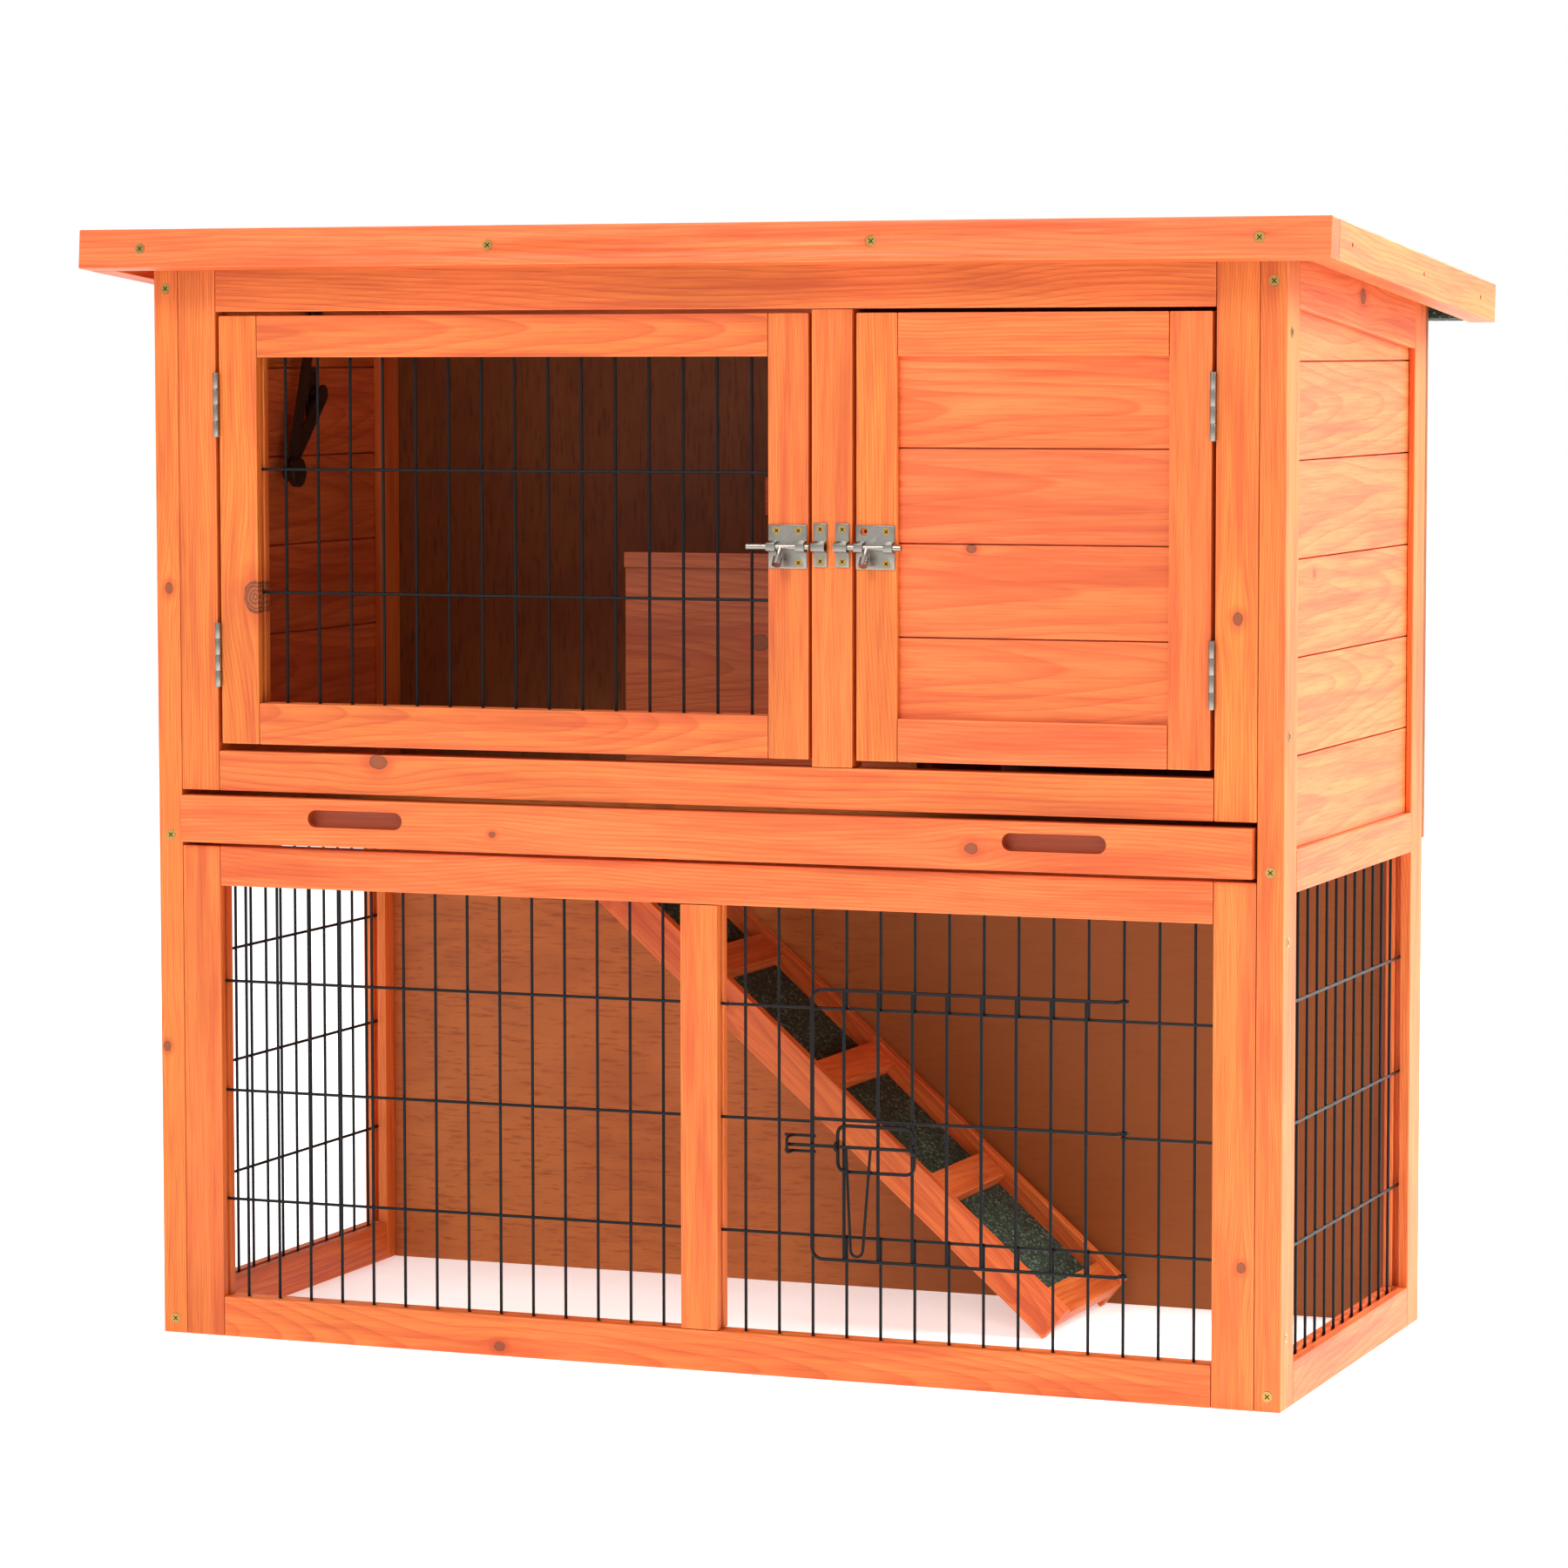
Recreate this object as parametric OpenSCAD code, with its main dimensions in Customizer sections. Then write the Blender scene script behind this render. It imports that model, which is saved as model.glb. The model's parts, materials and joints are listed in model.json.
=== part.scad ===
// Two-storey wooden rabbit hutch with an opening roof, two upper doors,
// a pull-out tray, a mesh run below and a ramp between the floors.
// Millimetres, +Z up. The hutch stands on Z = 0, centred under its whole box.

/* [Body] */
// Width over the side frames
body_w = 840; // [700:10:1000]
// Depth over the corner posts
body_d = 375; // [360:5:420]
// Thickness of the side frames
side_t = 19; // [16:1:24]
// Thickness of the front frames and the doors
front_t = 20; // [18:1:24]
// Width of a corner post, seen from the side
post_d = 32; // [28:1:40]
// Width of an upright of a front frame or door
stile_w = 30; // [26:1:36]
// Height of a rail
rail_h = 29; // [25:1:34]
// How far the side walls' top rails reach below the roof's edge
rail_drop = 25.5; // [20:0.5:30]
// Thickness of the plywood panels
ply_t = 6; // [4:1:8]
// Thickness of the wall slats
slat_t = 7; // [5:0.5:8]
// How far the slats sit behind the face of their frame
slat_setback = 5; // [3:0.5:6]
// How far a slat laps behind the one below it
slat_lap = 4; // [2:0.5:6]

/* [Levels] */
// Top of the lower front frame
lower_top = 357; // [330:1:360]
// Underside of the upper front frame
upper_bottom = 397; // [395:1:420]
// Underside of the upper frame's top rail
door_head = 740; // [720:1:742]
// Height of the side frames' middle rail
mid_rail_z = 348; // [340:1:350]
// Spacing of the slat joints on the side walls
slat_pitch = 66.2; // [60:0.2:70]
// Height of the lowest slat joint on the side walls
first_joint_z = 438.5; // [430:0.5:445]

/* [Roof] */
// Width over the side fascias
roof_w = 920; // [880:10:960]
// Length along the slope
roof_len = 460; // [450:5:500]
// Slope down towards the back, in degrees
roof_slope = 5; // [3:0.5:6]
// Height of the fascia boards
fascia_h = 28; // [26:1:36]
// Thickness of the fascia boards
fascia_t = 20; // [16:1:22]
// How far the roof reaches out over the front
roof_reach = 39; // [35:1:45]
// Height of the front fascia's lower edge
roof_z = 771; // [770:1:775]

/* [Doors] */
// Gap between a door and its frame
door_gap = 2.5; // [2:0.5:3]
// Centre of the upper mullion, right of the middle
mullion_x = 99; // [80:1:110]
// Height of a door hinge
hinge_h = 46; // [40:1:60]
// Height of the bolts above the ground
bolt_z = 577.5; // [560:0.5:600]
// Travel of a barrel bolt
bolt_travel = 9; // [8:0.5:9]

/* [Mesh] */
// Radius of the mesh wires
wire_r = 1.1; // [1:0.1:1.4]
// Spacing of the upright wires
wire_pitch = 25; // [24:0.5:25]
// Distance from the face of a frame to its mesh
mesh_setback = 9; // [8.5:0.5:10]

/* [Tray] */
// Height of the tray's front board
tray_front_h = 34; // [32:0.5:34]
// How far the tray's front board stands forward of the frames
tray_proud = 6; // [4:1:8]
// Depth of the tray behind its front board
tray_depth = 172; // [150:1:172]
// Length of a finger slot
slot_len = 74; // [60:1:90]
// Height of a finger slot
slot_h = 12.5; // [10:0.5:14]

/* [Ramp] */
// Slope of the ramp, in degrees
ramp_slope = 41.4; // [38:0.1:42]
// Width over the stringers
ramp_w = 149; // [130:1:149]
// Distance of the ramp's foot right of the middle
ramp_foot_x = 187; // [170:1:200]
// Spacing of the cleats along the ramp
cleat_pitch = 119; // [100:1:130]

/* [Hidden] */

$fn = 32;
tiny = 0.01;
// Gap that keeps two boards of one node apart
joint = 0.1;
// Room for a board to be cut away past its own faces
past = 1;

// Colours
fir = [1.00, 0.56, 0.33];
fir_pink = [1.00, 0.54, 0.39];
plywood = [0.72, 0.42, 0.18];
felt_green = [0.14, 0.22, 0.14];
nickel = [0.82, 0.81, 0.77];
zinc_yellow = [0.80, 0.78, 0.42];
black_wire = [0.13, 0.14, 0.16];
dark_steel = [0.22, 0.20, 0.18];

// Whole-object placing: the frames' front plane in the row's own Y
roof_run = roof_len * cos(roof_slope) + fascia_h * sin(roof_slope);
front_y = roof_reach - roof_run / 2;

// Roof
deck_t = 6;
felt_t = 2;
deck_z = fascia_h - deck_t - felt_t;
rear_rail_y = (body_d + ply_t + roof_reach + 1.5) / cos(roof_slope);
rear_rail_w = 22;

// Body
half_w = body_w / 2;
side_in = half_w - side_t;
stile_in = side_in - stile_w;
// Room between the walls and the roof deck that rests on them
roof_gap = 0.5;
mesh_groove = 4.4;
groove_depth = 6;
wire_gap = 1.8;
$wire_fn = 8;

// Front frames
lower_rail_z = lower_top - rail_h;
door_sill = upper_bottom + rail_h + 1;
upper_rail_top = roof_top(front_t);
lower_mullion_w = 28;

// Doors
door_bottom = upper_bottom + rail_h + 5;
door_top = door_head - 2.5;
left_door_x = [-stile_in + door_gap, mullion_x - stile_w / 2 - 2];
right_door_x = [mullion_x + stile_w / 2 + door_gap, stile_in - door_gap];
door_rail_h = 30;
door_mesh_pitch = 25.5;
door_joints = [645, 580, 516];

// Barrel bolts and their keeps
plate_t = 1.2;
plate_w = 28;
plate_h = 30;
rod_r = 2.2;
rod_len = 46;
rod_y = -plate_t - rod_r - 0.5;
guide_w = 6.6;
keep_w = 9.8;
guide_half = 4.2;
bolt_tip = mullion_x - 14.9;
plate_mid = left_door_x[1] - plate_w / 2 - 1;
knob_x = plate_mid - 4;
knob_tilt = 35;
knob_reach = 15;
screw_dx = 8;
screw_dz = 11;

// Hinges
leaf_t = 1;
knuckle_r = 2.1;
pin_r = 0.9;
door_hinge_z = [472, 651];
hinge_y = -2.2;
leaf_w = 18;
knuckles = 4;
roof_hinge_x = [-280, 280];
roof_knuckle_r = 2.4;
roof_leaf_w = 26;
back_face = body_d + ply_t;
axis_y = back_face + roof_knuckle_r + 0.2;
axis_z = 731.2;

// Screws
head_r = 3.6;
head_h = 2;
shank_r = 1.6;
shank_l = 16;
small_head_r = 2.7;
small_shank_r = 1.2;
hole_room = 0.05;
post_screw_z = [10.5, 364, 757];
side_screw_z = [49, 316.5, 454.5, 723];
side_screw_y = 12;
fascia_screw_x = [-411, -141, 141, 411];
pilot_y = [52, 246, 413];

// Tray
tray_half = side_in - 1.5;
tray_z = lower_top + 2.5;
tray_front_t = 18;
tray_back_y = tray_front_t - tray_proud;
slot_x = 261;
slot_depth = 9;
slot_z = tray_z + 20;
pan_half = side_in - 8;
pan_z = tray_z + 1.5;
pan_t = 3;
pan_h = 27;
pan_wall = 8;

// Floors
beam_y = tray_back_y + tray_depth + 5;
beam_t = 10;
floor_z = 380;
beam_top = floor_z - ply_t;
beam_bottom = mid_rail_z - 3;
back_inner = 349;
lower_panel_y = 358;
landing_x = -230;
header_t = 20;
runner_w = 15;
nest_x = mullion_x - 4;
nest_t = 8;

// Stair guard
guard_x = -134;
guard_top = 565;
guard_t = 7;
cap_h = 11;
cap_over = 3;

// Ramp
ramp_y = beam_y + beam_t + 0.3;
stringer_t = 10;
stringer_h = 28;
ramp_base_t = 5;
ramp_base_h = 6;
ramp_felt_t = 3;
cleat_w = 25;
cleat_h = 13;
ramp_run = 620;
cleats = 5;

// Wire door in the run's right mesh
mesh_half_x = 31;
mesh_rows = [99.5, 179, 258.5];
side_rows = [104, 187.5, 271];
aperture_first = 2;
aperture_last = 11;
wd_rows = [84, 182, 272];
wd_front = 3.4;
wd_back = 5.2;
wd_wire_r = 1.0;
wd_left = mesh_half_x + wire_pitch * aperture_first + 2;
wd_hinge_x = mesh_half_x + wire_pitch * aperture_last;
wd_hinge_y = mesh_setback + wire_gap / 2;
hook_room = 0.3;

// Sliding latch on the wire door
latch_r = 1.25;
latch_z = 163.5;
loop_y = wd_back - 1.8;
latch_y = loop_y - latch_r - 0.3 - wd_wire_r;
latch_x = [65.7, 163];
loop_x = [102, 158];
loop_z = [146, 178];
handle_x = [109, 127];
handle_z = 88;
catch_x = [61, 83.5];
catch_z = 5.5;

// Folding stay between the left wall and the roof, as [Y, Z]
stay_wall = [232, 680];
stay_elbow = [170, 622];
stay_roof = [212, 741];
stay_t = 2;
stay_w = 14;
stay_pin_r = 3;
stay_x = -side_in + 0.4;

// Height of the roof's lower edge, at a distance behind the front plane
function eaves_z(y) = roof_z - (y + roof_reach) * tan(roof_slope);

// Height of the walls' sloping top, just under the roof deck
function roof_top(y) = eaves_z(y) + deck_z / cos(roof_slope) - roof_gap;

// ---------- shared shapes ----------

// The body's own frame: Y = 0 at the front plane of its frames
module in_body() {
  translate([0, front_y, 0]) children();
}

// The roof's own frame: Y runs down the slope, Z stands square to it
module in_roof() {
  translate([0, front_y - roof_reach, roof_z]) rotate([-roof_slope, 0, 0]) children();
}

// A board given by its low and high corners
module board(low, high) {
  translate(low) cube(high - low);
}

// An outline in Y and Z, as thick as x[1] - x[0]
module side_cut(x, outline) {
  translate([x[0], 0, 0]) rotate([90, 0, 90]) linear_extrude(x[1] - x[0]) polygon(outline);
}

// A side board between two Ys, with its top following the roof
module sloped_board(x, y, bottom) {
  side_cut(x, [[y[0], bottom], [y[1], bottom], [y[1], roof_top(y[1])], [y[0], roof_top(y[0])]]);
}

module both_sides() {
  children();
  mirror([1, 0, 0]) children();
}

// Outline of a slat, from its outer face at 0 to its inner face, with a rebate at each lapped edge
function slat_outline(low, high, lap_low, lap_high) = [
  [0, low], [0, high], [slat_t / 2, high], [slat_t / 2, high - lap_high - tiny],
  [slat_t, high - lap_high - tiny], [slat_t, low - lap_low - tiny],
  [slat_t / 2 + joint, low - lap_low - tiny], [slat_t / 2 + joint, low]
];

// A wood screw along +Y, its flat head's face at Y = 0
module screw(r = head_r, shank = shank_r, len = shank_l, grow = 0, slot = true) {
  difference() {
    rotate([-90, 0, 0]) union() {
      cylinder(r = r + grow, h = head_h + grow);
      cylinder(r = shank + grow, h = len + head_h + grow);
    }
    if (slot) for (a = [45, 135]) rotate([0, a, 0]) translate([-r * 0.6, -past, -0.35])
      cube([r * 1.2, past + 0.9, 0.7]);
  }
}

module screw_hole(r = head_r, shank = shank_r, len = shank_l) {
  translate([0, -tiny, 0]) screw(r, shank, len, hole_room, false);
}

// A welded grid: uprights in one layer, rows in front of them
module grid(uprights, rows, span, height) {
  for (u = uprights) translate([u, wire_gap, height[0]])
    cylinder(r = wire_r, h = height[1] - height[0], $fn = $wire_fn);
  for (z = rows) translate([span[0], 0, z]) rotate([0, 90, 0])
    cylinder(r = wire_r, h = span[1] - span[0], $fn = $wire_fn);
}

// ---------- side frames ----------

module side_posts() {
  for (y = [0, body_d - post_d]) difference() {
    sloped_board([side_in, half_w], [y, y + post_d], 0);
    slat_groove(y);
    mesh_slot(y);
    if (y == 0) post_screw_holes();
  }
}

// Groove in a post for the ends of the slats
module slat_groove(y) {
  y0 = y == 0 ? post_d - groove_depth : body_d - post_d - past;
  board([half_w - slat_setback - slat_t - 0.2, y0, mid_rail_z + rail_h],
        [half_w - slat_setback + 0.2, y0 + groove_depth + past, eaves_z(y0) - rail_drop + 3]);
}

// Groove in a post for the ends of the mesh rows
module mesh_slot(y) {
  y0 = y == 0 ? post_d - groove_depth : body_d - post_d - past;
  board([half_w - mesh_setback - mesh_groove / 2 - wire_gap / 2, y0, rail_h],
        [half_w - mesh_setback + mesh_groove / 2 - wire_gap / 2, y0 + groove_depth + past, mid_rail_z]);
}

module post_screw_holes() {
  for (z = post_screw_z) translate([half_w - side_t / 2, 0, z]) screw_hole();
  for (z = side_screw_z) translate([half_w, side_screw_y, z]) rotate([0, 0, 90])
    screw_hole(len = 12);
}

module side_rails() {
  y = [post_d, body_d - post_d];
  groove_x = half_w - mesh_setback - wire_gap / 2;
  difference() {
    union() {
      board([side_in, y[0], 0], [half_w, y[1], rail_h]);
      board([side_in, y[0], mid_rail_z], [half_w, y[1], mid_rail_z + rail_h]);
      side_cut([side_in, half_w], [[y[0], eaves_z(y[0]) - rail_drop], [y[1], eaves_z(y[1]) - rail_drop],
        [y[1], roof_top(y[1])], [y[0], roof_top(y[0])]]);
    }
    for (z = [rail_h - groove_depth, mid_rail_z - past])
      board([groove_x - mesh_groove / 2, y[0] - past, z],
            [groove_x + mesh_groove / 2, y[1] + past, z + groove_depth + past]);
  }
}

module side_slats() {
  face = half_w - slat_setback;
  x = [face - slat_t, face];
  y = [post_d - groove_depth + 0.5, body_d - post_d + groove_depth - 0.5];
  for (k = [0:5]) {
    low = k == 0 ? mid_rail_z + rail_h + 0.2 : first_joint_z + slat_pitch * (k - 1) + 0.8;
    high = first_joint_z + slat_pitch * k;
    intersection() {
      translate([face, y[1], 0]) rotate([90, 0, 0]) mirror([1, 0, 0]) linear_extrude(y[1] - y[0])
        polygon(slat_outline(low, high, k == 0 ? 0 : slat_lap, k == 5 ? 0 : slat_lap));
      side_cut([x[0] - past, x[1] + past],
        [[y[0] - past, low - slat_lap - past], [y[1] + past, low - slat_lap - past],
         [y[1] + past, eaves_z(y[1] + past) - rail_drop - 0.2],
         [y[0] - past, eaves_z(y[0] - past) - rail_drop - 0.2]]);
    }
  }
}

module side_mesh() {
  mid = body_d / 2;
  y = [for (k = [-6:5]) mid + wire_pitch * (k + 0.5)];
  translate([half_w - mesh_setback, 0, 0]) rotate([0, 0, 90])
    grid(y, side_rows, [post_d - groove_depth + 1, body_d - post_d + groove_depth - 1],
         [rail_h - groove_depth + 1, mid_rail_z + groove_depth - 1]);
}

module right_posts() color(fir) in_body() side_posts();
module left_posts() color(fir) in_body() mirror([1, 0, 0]) side_posts();
module right_rails() color(fir) in_body() side_rails();
module left_rails() color(fir) in_body() mirror([1, 0, 0]) side_rails();
module right_slats() color(fir_pink) in_body() side_slats();
module left_slats() color(fir_pink) in_body() mirror([1, 0, 0]) side_slats();
module right_mesh() color(black_wire) in_body() side_mesh();
module left_mesh() color(black_wire) in_body() mirror([1, 0, 0]) side_mesh();

// ---------- back ----------

module back_upper_panel() color(plywood) in_body() {
  board([-half_w, body_d, mid_rail_z + 8], [half_w, body_d + ply_t, roof_top(back_face)]);
}

module back_lower_panel() color(plywood) in_body() {
  board([-side_in, lower_panel_y, 0], [side_in, lower_panel_y + ply_t, beam_bottom]);
}

module back_rails() color(fir) in_body() {
  board([-side_in, back_inner, beam_bottom], [side_in, body_d, beam_top]);
  board([-side_in, body_d - front_t, eaves_z(body_d) - rail_drop], [side_in, body_d, roof_top(body_d)]);
  board([-90, body_d - 12, 587], [nest_x, body_d, 616]);
}

// ---------- upper front frame ----------

module upper_stiles() color(fir) in_body() both_sides()
  board([stile_in, 0, upper_bottom], [side_in, front_t, upper_rail_top]);

module upper_rails() color(fir) in_body() {
  board([-stile_in, 0, upper_bottom], [stile_in, front_t, upper_bottom + rail_h]);
  board([-stile_in, 0, door_head], [stile_in, front_t, upper_rail_top]);
}

module upper_mullion() color(fir) in_body() difference() {
  board([mullion_x - stile_w / 2, 0, upper_bottom + rail_h],
        [mullion_x + stile_w / 2, front_t, door_head]);
  keep_screws() screw_hole(small_head_r, small_shank_r, 9);
}

// ---------- lower front frame ----------

module lower_stiles() color(fir) in_body() both_sides() difference() {
  board([stile_in, 0, 0], [side_in, front_t, lower_top]);
  board([stile_in - past, mesh_setback - mesh_groove / 2 + wire_gap / 2, rail_h - groove_depth],
        [stile_in + groove_depth, mesh_setback + mesh_groove / 2 + wire_gap / 2,
         lower_rail_z + groove_depth]);
}

module lower_rails() color(fir_pink) in_body() difference() {
  union() {
    board([-stile_in, 0, 0], [stile_in, front_t, rail_h]);
    board([-stile_in, 0, lower_rail_z], [stile_in, front_t, lower_top]);
  }
  for (z = [rail_h - groove_depth, lower_rail_z - past])
    board([-stile_in - past, mesh_setback - mesh_groove / 2 + wire_gap / 2, z],
          [stile_in + past, mesh_setback + mesh_groove / 2 + wire_gap / 2, z + groove_depth + past]);
}

module lower_mullion() color(fir) in_body() difference() {
  board([-lower_mullion_w / 2, 0, rail_h], [lower_mullion_w / 2, front_t, lower_rail_z]);
  both_sides()
    board([lower_mullion_w / 2 - groove_depth, mesh_setback - mesh_groove / 2 + wire_gap / 2, 0],
          [lower_mullion_w, mesh_setback + mesh_groove / 2 + wire_gap / 2, lower_top]);
}

run_span = [lower_mullion_w / 2 - groove_depth + 1, stile_in + groove_depth - 1];
run_height = [rail_h - groove_depth + 1, lower_rail_z + groove_depth - 1];

module lower_left_mesh() color(black_wire) in_body() mirror([1, 0, 0])
  translate([0, mesh_setback, 0])
    grid([for (k = [0:13]) mesh_half_x + wire_pitch * k], mesh_rows, run_span, run_height);

// The right mesh leaves an opening behind the wire door and carries its catch
module lower_right_mesh() color(black_wire) in_body() translate([0, mesh_setback, 0]) {
  edge = [for (k = [aperture_first, aperture_last]) mesh_half_x + wire_pitch * k];
  whole = [for (k = [0:13]) if (k <= aperture_first || k > aperture_last) mesh_half_x + wire_pitch * k];
  cut = [for (k = [aperture_first + 1:aperture_last - 1]) mesh_half_x + wire_pitch * k];
  grid(whole, [mesh_rows[0], mesh_rows[2]], run_span, run_height);
  grid([edge[1]], [], run_span, run_height, $wire_fn = 32);
  grid(cut, [], run_span, [run_height[0], mesh_rows[0] + wire_r]);
  grid(cut, [], run_span, [mesh_rows[2] - wire_r, run_height[1]]);
  grid([], [mesh_rows[1]], [run_span[0], edge[0] + wire_r], run_height);
  grid([], [mesh_rows[1]], [edge[1] - wire_r, run_span[1]], run_height);
  catch();
}

// A wire staple on the opening's left upright, which the latch slides into
module catch() {
  reach = mesh_setback + 3.4;
  for (z = [latch_z - catch_z, latch_z + catch_z]) {
    translate([catch_x[0], 0, z]) rotate([0, 90, 0])
      cylinder(r = wd_wire_r, h = catch_x[1] - catch_x[0], $fn = $wire_fn);
    translate([catch_x[0] + 6, -reach, z]) rotate([-90, 0, 0])
      cylinder(r = wd_wire_r, h = reach + wd_wire_r / 2, $fn = $wire_fn);
  }
  translate([catch_x[0] + 6, -reach, latch_z - catch_z - wd_wire_r])
    cylinder(r = wd_wire_r, h = 2 * (catch_z + wd_wire_r), $fn = $wire_fn);
}

// ---------- doors ----------

module door_stiles(x, groove, low, high) {
  for (x0 = [x[0], x[1] - stile_w]) difference() {
    board([x0, 0, door_bottom], [x0 + stile_w, front_t, door_top]);
    for (g = [x[0] + stile_w - groove_depth, x[1] - stile_w - past])
      board([g, groove[0], low - groove_depth], [g + groove_depth + past, groove[1], high + groove_depth]);
  }
}

module door_rails(x, groove) {
  y0 = x[0] + stile_w;
  y1 = x[1] - stile_w;
  difference() {
    union() {
      board([y0, 0, door_bottom], [y1, front_t, door_bottom + door_rail_h]);
      board([y0, 0, door_top - door_rail_h], [y1, front_t, door_top]);
    }
    for (z = [door_bottom + door_rail_h - groove_depth, door_top - door_rail_h - past])
      board([y0 - past, groove[0], z], [y1 + past, groove[1], z + groove_depth + past]);
  }
}

mesh_cut = [mesh_setback - mesh_groove / 2 + wire_gap / 2, mesh_setback + mesh_groove / 2 + wire_gap / 2];
slat_cut = [slat_setback - 0.2, slat_setback + slat_t + 0.2];
light = [door_bottom + door_rail_h, door_top - door_rail_h];

module left_door_stiles() color(fir) in_body() difference() {
  door_stiles(left_door_x, mesh_cut, light[0], light[1]);
  plate_screws() screw_hole(small_head_r, small_shank_r, 9);
}

module left_door_rails() color(fir) in_body() door_rails(left_door_x, mesh_cut);

module left_door_mesh() color(black_wire) in_body() translate([0, mesh_setback, 0]) {
  mid = (left_door_x[0] + left_door_x[1]) / 2 + 1;
  grid([for (k = [-7:7]) mid + door_mesh_pitch * k], [540, 628],
       [left_door_x[0] + stile_w - groove_depth + 1, left_door_x[1] - stile_w + groove_depth - 1],
       [light[0] - groove_depth + 1, light[1] + groove_depth - 1]);
}

module right_door_stiles() color(fir) in_body() difference() {
  door_stiles(right_door_x, slat_cut, light[0], light[1]);
  bolt_mirror() plate_screws() screw_hole(small_head_r, small_shank_r, 9);
}

module right_door_rails() color(fir) in_body() door_rails(right_door_x, slat_cut);

module right_door_slats() color(fir_pink) in_body() {
  edge = [light[1] + groove_depth - 0.5, door_joints[0], door_joints[1], door_joints[2],
          light[0] - groove_depth + 0.5];
  x = [right_door_x[0] + stile_w - groove_depth + 0.5, right_door_x[1] - stile_w + groove_depth - 0.5];
  for (k = [0:3]) translate([0, slat_setback, 0])
    side_cut(x, slat_outline(edge[k + 1] + (k < 3 ? 0.8 : 0), edge[k],
                             k < 3 ? slat_lap : 0, k > 0 ? slat_lap : 0));
}

// ---------- bolts ----------

// The right door's fittings mirror the left door's about the mullion
module bolt_mirror() {
  translate([2 * mullion_x, 0, 0]) mirror([1, 0, 0]) children();
}

module plate_screws() {
  for (x = [-screw_dx, screw_dx]) for (z = [-screw_dz, screw_dz])
    translate([plate_mid + x, -plate_t, bolt_z + z]) children();
}

module keep_screws() {
  for (x = [-8, 8]) for (z = [-screw_dz, screw_dz])
    translate([mullion_x + x, -plate_t, bolt_z + 1.2 + z]) children();
}

// A strap bent over the rod
module guide(x, width, room) {
  difference() {
    translate([x, 0, bolt_z]) hull() {
      translate([0, -plate_t, -guide_half]) cube([width, plate_t, 2 * guide_half]);
      translate([0, rod_y - rod_r - 0.9, -guide_half + 1.5]) cube([width, 1, 2 * guide_half - 3]);
    }
    translate([x - past, rod_y, bolt_z]) rotate([0, 90, 0])
      cylinder(r = rod_r + room, h = width + 2 * past);
  }
}

module bolt_plate() {
  difference() {
    board([plate_mid - plate_w / 2, -plate_t, bolt_z - plate_h / 2],
          [plate_mid + plate_w / 2, 0, bolt_z + plate_h / 2]);
    plate_screws() screw_hole(small_head_r, small_shank_r, 9);
  }
  for (x = [-plate_w / 2, plate_w / 2 - guide_w]) guide(plate_mid + x, guide_w, 0.1);
}

// A rod with a tilted thumb knob
module bolt_rod(shift) {
  translate([shift, rod_y, bolt_z]) {
    translate([bolt_tip - rod_len, 0, 0]) rotate([0, 90, 0]) cylinder(r = rod_r, h = rod_len);
    translate([knob_x, 0, 0]) rotate([180 - knob_tilt, 0, 0]) {
      cylinder(r = 1.8, h = knob_reach - 4);
      translate([0, 0, knob_reach - 6]) cylinder(r = 3.2, h = 6);
    }
  }
}

module left_bolt_plate() color(nickel) in_body() bolt_plate();
module right_bolt_plate() color(nickel) in_body() bolt_mirror() bolt_plate();
module left_bolt() color(nickel) in_body() bolt_rod(0);
module right_bolt() color(nickel) in_body() bolt_mirror() bolt_rod(bolt_travel);

module bolt_keeps() color(nickel) in_body() for (x = [mullion_x - 13, mullion_x + 13 - keep_w]) {
  difference() {
    board([x, -plate_t, bolt_z - 13.8], [x + keep_w, 0, bolt_z + 16.2]);
    keep_screws() screw_hole(small_head_r, small_shank_r, 9);
    translate([x - past, rod_y, bolt_z]) rotate([0, 90, 0])
      cylinder(r = rod_r + 0.4, h = keep_w + 2 * past);
  }
  guide(x, keep_w, 0.4);
}

// ---------- hinges ----------

// Knuckles along +Z: the first of each pair on one leaf, the second on the other
module knuckle_row(length, r, which) {
  step = length / knuckles;
  for (k = [which:2:knuckles - 1]) translate([0, 0, k * step + 0.15]) difference() {
    cylinder(r = r, h = step - 0.3);
    translate([0, 0, -past]) cylinder(r = pin_r + 0.05, h = step + 2 * past);
  }
}

// A door hinge leaf lies in the gap, against the stile (side = -1) or the door (side = 1)
module door_leaf(axis_x, side, which) {
  step = hinge_h / knuckles;
  gap_half = door_gap / 2;
  for (z = door_hinge_z) translate([axis_x, hinge_y, z]) {
    knuckle_row(hinge_h, knuckle_r, which);
    x = side < 0 ? -gap_half : gap_half - leaf_t;
    difference() {
      board([x, -0.4, 0], [x + leaf_t, leaf_w, hinge_h]);
      for (k = [1 - which:2:knuckles - 1]) board([x - past, -2, k * step - 0.15],
        [x + leaf_t + past, knuckle_r + 0.3, (k + 1) * step + 0.15]);
      translate([0, 0, -past]) cylinder(r = pin_r + 0.05, h = hinge_h + 2 * past);
    }
  }
}

left_axis_x = -stile_in + door_gap / 2;
right_axis_x = stile_in - door_gap / 2;

module frame_hinge_leaves() color(nickel) in_body() {
  door_leaf(left_axis_x, -1, 0);
  mirror([1, 0, 0]) door_leaf(-right_axis_x, -1, 0);
  for (x = roof_hinge_x) roof_leaf(x, 0) board([0, back_face, axis_z - roof_leaf_w],
    [hinge_h, back_face + leaf_t, axis_z + 0.5]);
}

module left_door_hinge_leaves() color(nickel) in_body() door_leaf(left_axis_x, 1, 1);
module right_door_hinge_leaves() color(nickel) in_body() mirror([1, 0, 0])
  door_leaf(-right_axis_x, 1, 1);

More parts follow.
